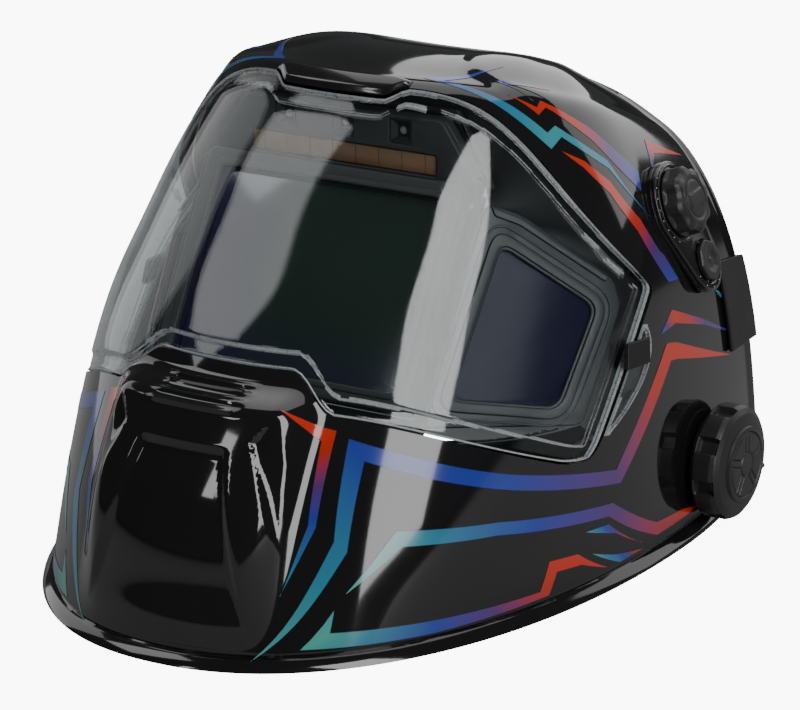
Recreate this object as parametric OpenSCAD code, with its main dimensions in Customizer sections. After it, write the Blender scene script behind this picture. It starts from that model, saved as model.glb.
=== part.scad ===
// Welding helmet: moulded shell with a wrap-around cover lens, auto-darkening
// filter, side windows, external control and an adjustable ratchet headgear.
// X points to the wearer's left, the lens faces -Y and +Z is up. The helmet
// stands on the rolled edge of its rim.

/* [Shell] */
// Outer width of the shell
shell_w = 248; // [210:1:300]
// Depth of the shell from the chin to the rear edge
shell_d = 291; // [250:1:340]
// Height of the shell from the rim to the crown
shell_h = 203.5; // [175:0.5:240]
// Wall thickness of the shell
wall = 3; // [2:0.1:4]
// How far the rolled edge of the rim stands out
rim_bead = 3.5; // [1:0.1:5]
// How far the chin stands proud of the cheeks
chin_rise = 11; // [6:0.5:13]

/* [Cover lens] */
// Thickness of the clear cover lens
lens_t = 2; // [1:0.1:2.5]
// Gap between the lens and the window edge, as a share of the surface grid
lens_gap = 0.006; // [0.004:0.001:0.012]
// Travel of the lens latches
latch_travel = 4; // [2:0.5:5]

/* [Filter] */
// Width of the viewing window
view_w = 110; // [95:1:112]
// Height of the viewing window
view_h = 84; // [75:1:88]
// Width of the filter housing
filter_w = 122; // [118:1:126]
// Thickness of the filter housing
filter_t = 10; // [8:0.5:14]
// Length of the solar strip
solar_w = 88; // [70:1:92]
// Height of the solar strip
solar_h = 8.5; // [6:0.5:10]
// Distance between the outer light sensors
sensor_span = 55; // [45:1:62]
// Thickness of the side windows
side_glass_t = 2; // [1.5:0.1:3]

/* [Controls] */
// Radius of the mode knob
mode_r = 14.5; // [12:0.5:16]
// Radius of the save button
save_r = 9; // [7:0.5:10]
// Travel of the save button
save_travel = 1.5; // [1:0.1:2]
// Radius of the coin cell
cell_r = 12.2; // [10:0.1:12.2]
// Thickness of the coin cell
cell_t = 4.6; // [3:0.1:5]

/* [Pivot] */
// Radius of the pivot screws
pivot_r = 4; // [3:0.1:5]
// Running clearance on the pivot screws
pivot_fit = 0.05; // [0.02:0.01:0.1]
// Outer radius of the tension knobs
knob_r = 24.5; // [20:0.5:28]

/* [Headgear] */
// Outer width of the headband
band_w = 156; // [145:1:162]
// Height of the headband
band_h = 28; // [22:1:30]
// Thickness of the headband
band_t = 2.5; // [2:0.1:3]
// Height of the crown strap above the headband
crown_rise = 100; // [90:1:112]
// Radius of the ratchet knob
ratchet_r = 21; // [17:0.5:24]

/* [Hidden] */
$fn = 64;

// ---- Lines plan of the shell -------------------------------------------
// Eleven rings run round the shell from the rim (ring 0) to the crown's rear
// edge (ring 10). Each has a front point on the centre line, the height at
// which it meets the rear edge, its half width, the share of its length at
// which that width is reached, and the fullness of its front curve.
RINGS = 10;
k_w = shell_w / 248;
k_d = shell_d / 291;
k_h = shell_h / 203.5;
front_y = k_d * [-188, -180, -164, -135, -107, -79, -49, -32, 0, 44, 86];
front_z = k_h * [0, 20, 60, 105, 135, 165, 197, 203, 203.5, 195, 178];
rear_z = k_h * [8, 26, 56, 88, 110, 133, 153, 162, 170, 175, 177];
half_w = k_w * [124, 124, 122, 118, 112, 103, 88, 76, 61, 45, 36];
turn_at = [0.72, 0.72, 0.72, 0.70, 0.68, 0.65, 0.61, 0.58, 0.54, 0.52, 0.50];
fullness = [2.15, 2.15, 2.15, 2.2, 2.2, 2.2, 2.2, 2.2, 2.2, 2.2, 2.2];
rear_half_w = k_w * 118.5;
rear_top = k_h * 178.5;
rear_full = 3.2;
rear_y = k_d * 104;
front_share = 0.6;

function at(list, k) = list[max(0, min(RINGS, k))];
function before(list, k) = k < 0 ? 2 * list[0] - list[1] : at(list, k);
function after(list, k) = k > RINGS ? 2 * list[RINGS] - list[RINGS - 1] : at(list, k);
function cubic(a, b, c, d, t) =
    0.5 * (2 * b + (c - a) * t + (2 * a - 5 * b + 4 * c - d) * t * t
           + (3 * b - a - 3 * c + d) * t * t * t);
function along(list, v) =
    let (w = max(0, min(RINGS - 0.0001, v)), i = floor(w))
    cubic(before(list, i - 1), list[i], list[i + 1], after(list, i + 2), w - i);
function mix(a, b, t) = a + (b - a) * t;
function clamp01(t) = max(0, min(1, t));
function ease(t) = let (c = clamp01(t)) c * c * (3 - 2 * c);

// A point on the shell: s runs from the right rear edge (-1) over the front
// (0) to the left rear edge (1), v from the rim (0) to the crown (10).
function rear_x(z) = rear_half_w * pow(max(0, 1 - pow(min(z / rear_top, 1), rear_full)), 1 / rear_full);
function share(q, turn) = q < front_share ? turn * (1 - cos(90 * q / front_share))
    : turn + (1 - turn) * (q - front_share) / (1 - front_share);
function wide(f, a, xe, turn, n) =
    f < turn ? a * pow(max(0, 1 - pow(max(0, 1 - f / turn), n)), 1 / n)
             : a - (a - xe) * pow((f - turn) / (1 - turn), 2);
function smooth_skin(s, v) =
    let (turn = along(turn_at, v), f = share(abs(s), turn), ze = along(rear_z, v),
         a = along(half_w, v), yc = along(front_y, v), zc = along(front_z, v),
         x = wide(f, a, min(rear_x(ze), a), turn, along(fullness, v)),
         low = pow(max(0, (f - turn) / (1 - turn)), 2),
         climb = mix(low, pow(f, 1.3), min(1, max(0, v) / 1.5)))
    [sign(s) * x, mix(yc, rear_y - 0.1 * ze, f), mix(zc, ze, climb)];
STEP = 0.01;
function unit(p) = p / norm(p);
function out_dir(s, v) =
    let (t = s == 0 ? STEP / 2 : s,
         side = smooth_skin(s + STEP, v) - smooth_skin(s - STEP, v),
         rise = smooth_skin(t, v + STEP) - smooth_skin(t, v - STEP),
         n = unit(cross(side, rise)))
    s == 0 ? unit([0, n[1], n[2]]) : n;

// Chin ridge below the lens, and the rolled edge of the rim.
function chin(s, v) =
    chin_rise * ease((v - 0.2) / 2) * (1 - ease((v - 2.6) / 0.35)) * (1 - ease((abs(s) - 0.085) / 0.06));
function bead(v) = rim_bead * (1 - ease(v / 0.35));
// Offsets turn level towards the rim, so that the rim's edge is flat.
function skin(s, v, off) =
    let (n = out_dir(s, v), level = unit([n[0], n[1], n[2] * ease(v / 0.3)]))
    smooth_skin(s, v) + level * (off + chin(s, v) + bead(v));

// ---- Window outline in (s, v) ------------------------------------------
low_corner = [0.462, 1.96];
high_corner = [0.556, 3.74];
trim_s = 0.135;
trim_top = 6.25;
lens_top = 6.0;
function low_edge(s) =
    3.05 - 0.37 * ease((s - 0.08) / 0.07) - 0.8 * pow(clamp01((s - 0.14) / 0.32), 1.5)
    + 0.085 * pow(clamp01((s - 0.42) / 0.042), 2);
function high_edge(s) =
    s < trim_s ? trim_top
    : trim_top - 2.45 * pow(clamp01((s - trim_s) / 0.42), 1.8) - 0.06 * pow(clamp01((s - 0.52) / 0.036), 2);
function side_edge(v) =
    0.47 + 0.058 * (v - 1.98) - 0.007 * pow(clamp01(1 - (v - low_corner[1]) / 0.15), 2)
    - 0.016 * pow(clamp01(1 - (high_corner[1] - v) / 0.2), 2);

// ---- Sheets that follow the shell --------------------------------------
// A closed sheet over a grid of (s, v) points, between two offsets. Cells for
// which open(i, j) is true are left out, and every open edge gets a wall.
function quad(a, b, c, d) = [[a, b, c], [a, c, d]];
module sheet(grid, outer, inner, hole = [0, 0, 0, 0]) {
    rows = len(grid);
    cols = len(grid[0]);
    count = rows * cols;
    points = [for (off = [outer, inner]) for (row = grid) for (p = row) skin(p[0], p[1], off)];
    function kept(j, i) = j >= 0 && i >= 0 && j < rows - 1 && i < cols - 1
        && !(j >= hole[0] && j < hole[1] && i >= hole[2] && i < hole[3]);
    function id(j, i, side) = side * count + j * cols + i;
    faces = [for (j = [0:rows - 2]) for (i = [0:cols - 2]) if (kept(j, i)) each [
        each quad(id(j, i, 0), id(j + 1, i, 0), id(j + 1, i + 1, 0), id(j, i + 1, 0)),
        each quad(id(j, i, 1), id(j, i + 1, 1), id(j + 1, i + 1, 1), id(j + 1, i, 1)),
        each kept(j - 1, i) ? [] : quad(id(j, i, 0), id(j, i + 1, 0), id(j, i + 1, 1), id(j, i, 1)),
        each kept(j + 1, i) ? [] : quad(id(j + 1, i + 1, 0), id(j + 1, i, 0), id(j + 1, i, 1), id(j + 1, i + 1, 1)),
        each kept(j, i - 1) ? [] : quad(id(j + 1, i, 0), id(j, i, 0), id(j, i, 1), id(j + 1, i, 1)),
        each kept(j, i + 1) ? [] : quad(id(j, i + 1, 0), id(j + 1, i + 1, 0), id(j + 1, i + 1, 1), id(j, i + 1, 1))]];
    polyhedron(points, faces, convexity = 10);
}
function patch(s0, s1, v0, v1, ns, nv) =
    [for (j = [0:nv]) [for (i = [0:ns]) [mix(s0, s1, i / ns), mix(v0, v1, j / nv)]]];

// The shell's grid has three bands of columns and of rows, and the window is
// the middle cell of the nine.
win_cols = 15;
side_cols = 7;
low_rows = 7;
win_rows = 12;
top_rows = 7;
rim_s = 0.5;
crown_s = 0.62;
all_rows = low_rows + win_rows + top_rows;
all_cols = 2 * (win_cols + side_cols);
function side_v(k) = mix(low_corner[1], high_corner[1], k);
function shell_cell(i, j) =
    let (m = abs(i), t = min(m, win_cols) / win_cols, e = max(0, m - win_cols) / side_cols,
         low = [low_corner[0] * t, low_edge(low_corner[0] * t)],
         high = [high_corner[0] * t, high_edge(high_corner[0] * t)],
         a = clamp01(j / low_rows), b = clamp01((j - low_rows) / win_rows),
         c = clamp01((j - low_rows - win_rows) / top_rows),
         vb = side_v(b), edge = [side_edge(vb), vb],
         inside = j <= low_rows ? mix([rim_s * t, 0], low, a)
             : j >= low_rows + win_rows ? mix(high, [crown_s * t, RINGS], c)
             : mix(low, high, b),
         outside = j <= low_rows ? mix(mix([rim_s, 0], low_corner, a), [1, low_corner[1] * a], e)
             : j >= low_rows + win_rows
                 ? mix(mix(high_corner, [crown_s, RINGS], c), [1, mix(high_corner[1], RINGS, c)], e)
             : mix(edge, [1, vb], e),
         p = m < win_cols || (m == win_cols && (b == 0 || b == 1)) ? inside : outside)
    [sign(i) * p[0], p[1]];
shell_grid = [for (j = [0:all_rows]) [for (i = [-all_cols / 2:all_cols / 2]) shell_cell(i, j)]];

// ---- Places of the other pieces ----------------------------------------
pivot_y = k_d * 48;
pivot_z = k_h * 30;
wall_x = k_w * 123.7;
hub_r = pivot_r + 7;
flange_t = 1.6;
flange_x = wall_x + 1.1;
stop_t = 2;
stop_x = wall_x - wall - 4.6;
washer_t = 1.2;
arm_t = 3;
arm_x = stop_x - washer_t - arm_t - 0.6;
screw_head = 4;
knob_x = flange_x + flange_t + 0.4;
knob_l = 15;
float_gap = 0.3;

filter_lean = 31;
filter_y = k_d * -67;
filter_z = k_h * 122;
housing_h = view_h + 12;
fascia_h = 25;
fascia_low = 126;
fascia_high = 94;
fascia_y = k_d * -41;
fascia_z = k_h * 163.5;
panel_gap = 0.5;

side_turn = 52;
side_lean = 20.3;
side_x = k_w * 66;
side_y = k_d * -57;
side_z = k_h * 118;
side_t = 3;

control_tilt = 70;
control_turn = 5;
control_pos = [k_w * 106.3, k_d * 47, k_h * 139.4];
save_at = [28.5, 10.3];
plate_r = mode_r + 3.5;
save_plate_r = save_r + 4;
plate_t = 4;
plate_proud = 1.6;
shaft_r = 3;
box_top = -10;
box_x = 62;
box_y = 38;
box_t = 14;
box_wall = 1.6;

band_r = band_w / 2;
band_z = pivot_z;
front_c = pivot_y - 6;
rear_c = pivot_y + 18;
band_end = pivot_y + 46;
rear_start = rear_c - 4;
rear_r = band_r - band_t - float_gap;
crown_t = 2.2;
crown_wide = 22;
crown_y = pivot_y + 12;
crown_r = band_r + crown_t + float_gap;
crown_bend_z = band_z + band_h / 2 + crown_rise - crown_r;
ratchet_y = rear_c + rear_r;
housing_t = 9;
ratchet_l = 14;
y_mid = (front_y[0] - rim_bead + ratchet_y + housing_t + 0.4 + ratchet_l) / 2;

module placed() {
    translate([0, -y_mid, 0]) children();
}
module right_side() {
    mirror([1, 0, 0]) children();
}
module at_pivot(x) {
    translate([x, pivot_y, pivot_z]) rotate([0, 90, 0]) children();
}
module at_filter(depth = 0) {
    translate([0, filter_y, filter_z]) rotate([-filter_lean, 0, 0]) translate([0, depth, 0]) children();
}
module at_side(depth = 0) {
    translate([side_x, side_y, side_z]) rotate([0, 0, side_turn]) rotate([-side_lean, 0, 0])
        translate([0, depth, 0]) children();
}
module at_controls(h = 0) {
    translate(control_pos) rotate([0, control_tilt, control_turn]) translate([0, 0, h]) children();
}
// An upright plate: the outline lies in X and Z and t is its depth along +Y.
module upright(t) {
    translate([0, t, 0]) rotate([90, 0, 0]) linear_extrude(t) children();
}

// ---- Shell and lens -----------------------------------------------------
module plate_outline(grow = 0) {
    hull() {
        circle(r = plate_r + grow);
        translate(save_at) circle(r = save_plate_r + grow);
    }
}

module shell() {
    color("#17181a") difference() {
        sheet(shell_grid, 0, -wall,
            [low_rows, low_rows + win_rows, side_cols, side_cols + 2 * win_cols]);
        at_controls(-12) linear_extrude(20) plate_outline(0.4);
        for (side = [-1, 1]) translate([side * (wall_x - 10), pivot_y, pivot_z])
            rotate([0, side * 90, 0]) cylinder(r = hub_r + 0.4, h = 20);
    }
}

module brow_trim() {
    rows = 5;
    cols = 16;
    function trim_low(s) = lens_top + 0.04 + (trim_top - lens_top) * ease((abs(s) - 0.08) / 0.05) - 0.02;
    color("#1d1e20") sheet([for (j = [0:rows]) [for (i = [-cols:cols])
        let (s = 0.125 * i / cols) [s, mix(trim_low(s), 6.7, j / rows)]]], 1.8, 0.3);
}

function lens_cell(i, j) =
    let (m = abs(i) / win_cols, g = lens_gap, b = j / win_rows,
         sl = (low_corner[0] - g) * m, sh = (high_corner[0] - g) * m,
         top = sh < trim_s ? lens_top + (trim_top - lens_top) * ease((sh - 0.085) / 0.045) : high_edge(sh),
         low = [sl, low_edge(sl) + 6 * g], high = [sh, top - 6 * g],
         vb = mix(low_corner[1] + 6 * g, high_corner[1] - 6 * g, b),
         p = abs(i) == win_cols ? [side_edge(vb) - g, vb] : mix(low, high, b))
    [sign(i) * p[0], p[1]];

module cover_lens() {
    color("#9aa0a6", 0.35)
    sheet([for (j = [0:win_rows]) [for (i = [-win_cols:win_cols]) lens_cell(i, j)]], 0, -lens_t);
}

module lens_latch_left() {
    color("#101112") sheet(patch(0.503, 0.54, 2.72, 3.0, 3, 3), 3.2, 0.8);
}
module lens_latch_right() {
    right_side() lens_latch_left();
}

// ---- Filter group --------------------------------------------------------
module fascia_outline(grow = 0) {
    polygon([[-fascia_low / 2 - grow, -grow], [fascia_low / 2 + grow, -grow],
        [fascia_high / 2 + grow, fascia_h + grow], [-fascia_high / 2 - grow, fascia_h + grow]]);
}

module inner_frame() {
    frame_t = 3;
    side_w = 6;
    color("#26282b") difference() {
        union() {
            at_filter(filter_t / 2 - frame_t) upright(frame_t)
                polygon([[-filter_w / 2 - side_w, -housing_h / 2 - 8], [filter_w / 2 + side_w, -housing_h / 2 - 8],
                    [filter_w / 2 + side_w, housing_h / 2 - 2], [-filter_w / 2 - side_w, housing_h / 2 - 2]]);
            translate([0, fascia_y + filter_t - 2, fascia_z]) upright(frame_t) fascia_outline(3);
        }
        at_filter(-filter_t) upright(3 * filter_t)
            translate([-filter_w / 2 - panel_gap, -housing_h / 2 - panel_gap])
                square([filter_w + 2 * panel_gap, housing_h + 2 * panel_gap]);
        for (drop = [0, 8]) translate([0, fascia_y - filter_t, fascia_z - drop]) upright(3 * filter_t)
            fascia_outline(panel_gap);
    }
}

side_panel = [[16, 40], [30, 34], [66, 4], [68, -8], [44, -54], [-26, -46]];
side_hole = [[20, 22], [56, -7], [34, -45], [-10, -36]];
module side_frame_left() {
    color("#2c2e31") at_side() difference() {
        upright(side_t) polygon(side_panel);
        translate([0, -1, 0]) upright(side_t + 2) polygon(side_hole);
        translate([0, side_t - 1.2, 0]) upright(side_t) offset(delta = 2.4) polygon(side_hole);
    }
}
module side_frame_right() {
    right_side() side_frame_left();
}
module side_window_left() {
    color("#2b2748", 0.8) at_side(side_t - 1.2) upright(side_glass_t)
        offset(delta = 2) polygon(side_hole);
}
module side_window_right() {
    right_side() side_window_left();
}

module filter_housing() {
    rim = (filter_w - view_w) / 2;
    sensor_size = 9;
    color("#3b3d40") difference() {
        union() {
            at_filter(-filter_t / 2) upright(filter_t)
                translate([-filter_w / 2, -housing_h / 2]) square([filter_w, housing_h]);
            translate([0, fascia_y, fascia_z]) upright(filter_t) fascia_outline();
        }
        at_filter(-filter_t) upright(2 * filter_t)
            translate([-view_w / 2, -view_h / 2]) square([view_w, view_h]);
        at_filter(-1.6) upright(filter_t)
            translate([-view_w / 2 - rim / 2, -view_h / 2 - 3]) square([view_w + rim, view_h + 6]);
        translate([-solar_w / 2, fascia_y - 1, fascia_z + 1.5]) cube([solar_w, 2.6, solar_h]);
        for (x = [-sensor_span / 2, 0, sensor_span / 2]) translate([x, fascia_y, fascia_z + 18]) {
            translate([-sensor_size / 2, -1, -sensor_size / 2]) cube([sensor_size, 2.5, sensor_size]);
            rotate([-90, 0, 0]) cylinder(r = 2.2, h = 5);
        }
    }
}

module filter_glass() {
    rim = (filter_w - view_w) / 2;
    color("#16241c", 0.75) at_filter(-1.5) upright(3)
        translate([-view_w / 2 - rim / 2 + 0.2, -view_h / 2 - 2.8]) square([view_w + rim - 0.4, view_h + 5.6]);
}

module filter_circuit() {
    color("#1f5c3a") at_filter(1.7) upright(1.2) difference() {
        translate([-view_w / 2 - 2.6, -view_h / 2 - 2.7]) square([view_w + 5.2, view_h + 5.4]);
        translate([-view_w / 2 + 1, -view_h / 2 + 1]) square([view_w - 2, view_h - 2]);
    }
}

module inner_cover_lens() {
    color("#c9d2d8", 0.3) at_filter(3.1) upright(1.2)
        translate([-view_w / 2 - 2.6, -view_h / 2 - 2.7]) square([view_w + 5.2, view_h + 5.4]);
}

module solar_strip() {
    color("#6d5138") translate([-solar_w / 2 + 0.2, fascia_y + 0.6, fascia_z + 1.7])
        cube([solar_w - 0.4, 0.9, solar_h - 0.4]);
}

module light_sensors() {
    color("#c9cdd0") for (x = [-sensor_span / 2, 0, sensor_span / 2])
        translate([x, fascia_y + 2, fascia_z + 18]) rotate([-90, 0, 0]) cylinder(r = 2, h = 2.8);
}

module filter_screws() {
    color("#9b9ea1") for (x = [-1, 1]) for (z = [-1, 1])
        at_filter(filter_t / 2 + 0.1) translate([x * (filter_w / 2 + 2), 0, z * (housing_h / 2 - 14)])
            rotate([-90, 0, 0]) cylinder(r = 3, h = 2);
}

// ---- Controls --------------------------------------------------------------
module control_plate() {
    color("#141516") difference() {
        at_controls(plate_proud - plate_t) linear_extrude(plate_t) plate_outline();
        at_controls(-plate_t) cylinder(r = shaft_r + pivot_fit, h = 2 * plate_t);
        at_controls(-plate_t) translate(save_at) cylinder(r = save_r - 1.9, h = 2 * plate_t);
        at_controls(plate_proud - 2.2) translate(save_at) cylinder(r = save_r + 0.3, h = 2 * plate_t);
    }
}

module mode_knob() {
    lobes = 8;
    knob_h = 9;
    color("#1b1c1d") at_controls(plate_proud + 0.4) {
        difference() {
            cylinder(r = mode_r, h = knob_h);
            for (k = [0:lobes - 1]) rotate(360 * k / lobes + 22.5) translate([mode_r + 2.4, 0, 1.6])
                cylinder(r = 4.4, h = knob_h);
        }
        cylinder(r = mode_r * 0.5, h = knob_h + 0.8);
        translate([0, 0, -plate_proud - 12]) cylinder(r = shaft_r, h = plate_proud + 13);
    }
}

module save_button() {
    cap_h = 3.2 + plate_proud;
    color("#202122") at_controls(plate_proud - 2.2 + save_travel + 0.3) translate(save_at) {
        cylinder(r = save_r, h = 2.6);
        translate([0, 0, -cap_h]) cylinder(r = save_r - 2.2, h = cap_h);
    }
}

module control_box() {
    color("#1a1b1c") at_controls(box_top - box_t) {
        difference() {
            translate([-18, -16, 0]) cube([box_x, box_y + 2, box_t]);
            translate([-18 + box_wall, -16 + box_wall, box_wall])
                cube([box_x - 2 * box_wall, box_y + 2, box_t - 2 * box_wall]);
            translate([0, 0, box_t / 2]) cylinder(r = shaft_r + 0.3, h = box_t);
            translate([save_at[0], save_at[1], box_t / 2]) cylinder(r = save_r - 1.9, h = box_t);
        }
        for (p = [[-11, -8], [12, 12]]) translate([p[0], p[1], box_t - 0.1])
            cylinder(r = 2.5, h = plate_proud - plate_t - box_top);
    }
}

module control_board() {
    color("#1f5c3a") at_controls(box_top - box_wall - 2.2)
        translate([-18 + box_wall + 0.4, -16 + box_wall + 0.4, 0]) cube([box_x - 2 * box_wall - 0.8, 36, 1.4]);
}

drawer_w = 2 * cell_r + 5;
module battery_drawer() {
    color("#232527") at_controls(box_top - box_t + box_wall + 0.4) {
        difference() {
            translate([5, -6, 0]) cube([drawer_w, 30, 6.4]);
            translate([5 + drawer_w / 2, 9, 1.2]) cylinder(r = cell_r + 0.3, h = 8);
        }
        translate([5, 24.4, -1.6]) cube([drawer_w, 2.4, 9]);
        translate([5, 23.5, 0]) cube([drawer_w, 1.5, 6.4]);
    }
}
module coin_cell() {
    color("#b7babd") at_controls(box_top - box_t + box_wall + 1.7)
        translate([5 + drawer_w / 2, 9, 0]) cylinder(r = cell_r, h = cell_t);
}

// The cable runs from the control box along the inside of the shell to the
// top of the filter housing.
cable_r = 1.6;
CABLE = [[78, 40, 158], [73, 32, 162], [68, 22, 166], [63, 11, 169], [58, 0, 172],
    [51, -10, 175], [43, -17, 177], [34, -21, 177], [27, -23, 176]];
function from_controls(x, y, z) =
    let (c = cos(control_tilt), t = sin(control_tilt), a = x * c + z * t)
    control_pos + [a * cos(control_turn) - y * sin(control_turn),
        a * sin(control_turn) + y * cos(control_turn), z * c - x * t];
module signal_cable() {
    sides = 8;
    path = concat([from_controls(-18.02, -4, box_top - box_t / 2), from_controls(-24, -5, box_top - box_t / 2)],
        [for (p = CABLE) [k_w * p[0], k_d * p[1], k_h * p[2]]],
        [[22, fascia_y + filter_t + 4, fascia_z + 11], [21, fascia_y + filter_t + 0.02, fascia_z + 11]]);
    last = len(path) - 1;
    function heading(i) = unit(path[min(i + 1, last)] - path[max(i - 1, 0)]);
    ring_pts = [for (i = [0:last]) let (d = heading(i), a = unit(cross(d, [0, 0, 1])), b = cross(a, d))
        for (k = [0:sides - 1]) path[i] + cable_r * (a * cos(360 * k / sides) + b * sin(360 * k / sides))];
    color("#111213") polyhedron(ring_pts, [[for (k = [0:sides - 1]) k],
        for (i = [0:last - 1]) for (k = [0:sides - 1]) let (n = (k + 1) % sides)
            each quad(i * sides + k, (i + 1) * sides + k, (i + 1) * sides + n, i * sides + n),
        [for (k = [sides - 1:-1:0]) last * sides + k]]);
}

// A clip that hooks over the rear edge beside the controls.
module edge_clip() {
    rings = 5;
    outside = [[0.87, 2.6], [1.03, 2.6], [1.03, -wall - 2.6], [0.91, -wall - 2.6],
        [0.91, -wall - 0.5], [1.006, -wall - 0.5], [1.006, 0.5], [0.87, 0.5]];
    n = len(outside);
    pts = [for (k = [0:rings]) let (v = mix(2.35, 3.75, k / rings)) for (p = outside) skin(p[0], v, p[1])];
    caps = [[0, 1, 6, 7], [1, 2, 5, 6], [2, 3, 4, 5]];
    color("#101112") polyhedron(pts, [
        for (c = caps) each quad(c[3], c[2], c[1], c[0]),
        for (k = [0:rings - 1]) for (i = [0:n - 1]) let (m = (i + 1) % n)
            each quad(k * n + i, k * n + m, (k + 1) * n + m, (k + 1) * n + i),
        for (c = caps) each [for (t = quad(c[0], c[1], c[2], c[3])) [for (q = t) rings * n + q]]]);
}

// ---- Pivots ------------------------------------------------------------------
module pivot_bushing_left() {
    hub_l = flange_x - stop_x;
    color("#2a2c2e") difference() {
        union() {
            at_pivot(stop_x) cylinder(r = hub_r, h = hub_l + 0.5);
            at_pivot(flange_x) cylinder(r = knob_r - 4, h = flange_t);
        }
        at_pivot(stop_x - 5) cylinder(r = pivot_r + pivot_fit, h = hub_l + 20);
    }
}
module pivot_bushing_right() {
    right_side() pivot_bushing_left();
}

module stop_plate_left() {
    color("#3a3c3f") difference() {
        union() {
            at_pivot(stop_x) cylinder(r = 19, h = stop_t);
            at_pivot(stop_x - 4) rotate(80) translate([16, 0, 0]) cylinder(r = 1.6, h = 5);
        }
        at_pivot(stop_x - 10) cylinder(r = hub_r + 0.2, h = 20);
    }
}
module stop_plate_right() {
    right_side() stop_plate_left();
}

module friction_washer_left() {
    color("#8a1f1c") difference() {
        at_pivot(stop_x - washer_t - float_gap) cylinder(r = 10, h = washer_t);
        at_pivot(stop_x - 10) cylinder(r = pivot_r + pivot_fit, h = 20);
    }
}
module friction_washer_right() {
    right_side() friction_washer_left();
}

module pivot_screw_left() {
    color("#a8abae") {
        at_pivot(arm_x - 0.1) cylinder(r = pivot_r, h = knob_x + knob_l - 4 - arm_x);
        at_pivot(arm_x - screw_head - 0.1) cylinder(r = pivot_r * 1.7, h = screw_head, $fn = 6);
    }
}
module pivot_screw_right() {
    right_side() pivot_screw_left();
}

module tension_knob_left() {
    lugs = 8;
    skirt = knob_l * 0.58;
    color("#1b1c1e") difference() {
        union() {
            at_pivot(knob_x) cylinder(r = knob_r, h = skirt);
            at_pivot(knob_x + skirt) cylinder(r1 = knob_r, r2 = knob_r * 0.8, h = knob_l - skirt);
        }
        for (k = [0:lugs - 1]) at_pivot(knob_x - 1) rotate(360 * k / lugs)
            translate([knob_r + 1.6, 0, 0]) cylinder(r = 4.6, h = knob_l + 2);
        at_pivot(knob_x - 5) cylinder(r = pivot_r + pivot_fit, h = knob_l + 1.5);
    }
}
module tension_knob_right() {
    right_side() tension_knob_left();
}

// ---- Headgear ---------------------------------------------------------------
pad_x = band_r + float_gap;
arm_h = 18;
module side_arm_left() {
    pad_t = 2.6;
    y0 = pivot_y - 36;
    color("#26282a") difference() {
        union() {
            translate([0, 0, band_z - arm_h / 2]) linear_extrude(arm_h) polygon([
                [pad_x, y0], [pad_x + pad_t, y0], [pad_x + pad_t, y0 + 8],
                [arm_x + arm_t, pivot_y - 12], [arm_x + arm_t, pivot_y + 10], [arm_x, pivot_y + 10],
                [arm_x, pivot_y - 9], [pad_x + pad_t, y0 + 14], [pad_x + pad_t, y0 + 24], [pad_x, y0 + 24]]);
            at_pivot(arm_x) cylinder(r = 13, h = arm_t);
        }
        at_pivot(arm_x - 5) cylinder(r = pivot_r + pivot_fit, h = 20);
    }
}
module side_arm_right() {
    right_side() side_arm_left();
}

// Half a round band, open towards +Y (or -Y where back is true).
module half_band(r, t, h, y, back = false) {
    difference() {
        translate([0, y, band_z - h / 2]) cylinder(r = r, h = h, $fn = 96);
        translate([0, y, band_z - h]) cylinder(r = r - t, h = 2 * h, $fn = 96);
        translate([-2 * r, back ? y - 4 * r : y, band_z - h]) cube([4 * r, 4 * r, 2 * h]);
    }
}

module headband_front() {
    color("#1f2022") {
        half_band(band_r, band_t, band_h, front_c);
        for (side = [-1, 1]) translate([side * (band_r - band_t / 2) - band_t / 2, front_c, band_z - band_h / 2])
            cube([band_t, band_end - front_c, band_h]);
    }
}

pad_gap = 0.4;
sweat_t = 7;
module sweatband() {
    r = band_r - band_t - pad_gap;
    color("#2b2b2d") difference() {
        translate([0, front_c, band_z - band_h / 2 - 2]) cylinder(r = r, h = band_h + 4, $fn = 96);
        translate([0, front_c, band_z - band_h]) cylinder(r = r - sweat_t, h = 2 * band_h, $fn = 96);
        translate([-2 * r, front_c - 18, band_z - band_h]) cube([4 * r, 4 * r, 2 * band_h]);
    }
}

module reach_buttons() {
    color("#3a3c3e") for (side = [-1, 1]) translate([side * (band_r - band_t), pivot_y - 17, band_z])
        rotate([0, -side * 90, 0]) cylinder(r = 5, h = 2);
}

module headband_rear() {
    h = band_h - 8;
    color("#1f2022") {
        half_band(rear_r, band_t, h, rear_c, true);
        for (side = [-1, 1]) translate([side * (rear_r - band_t / 2) - band_t / 2, rear_start, band_z - h / 2])
            cube([band_t, rear_c - rear_start, h]);
    }
}

module crown_strap() {
    leg_z = band_z + 4;
    color("#1f2022") {
        difference() {
            translate([0, crown_y + crown_wide / 2, crown_bend_z]) rotate([90, 0, 0])
                cylinder(r = crown_r, h = crown_wide, $fn = 96);
            translate([0, crown_y + crown_wide, crown_bend_z]) rotate([90, 0, 0])
                cylinder(r = crown_r - crown_t, h = 2 * crown_wide, $fn = 96);
            translate([-2 * crown_r, crown_y - crown_wide, crown_bend_z - 4 * crown_r])
                cube([4 * crown_r, 2 * crown_wide, 4 * crown_r]);
        }
        for (side = [-1, 1])
            translate([side * (crown_r - crown_t / 2) - crown_t / 2, crown_y - crown_wide / 2, leg_z])
                cube([crown_t, crown_wide, crown_bend_z - leg_z]);
    }
}

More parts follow.
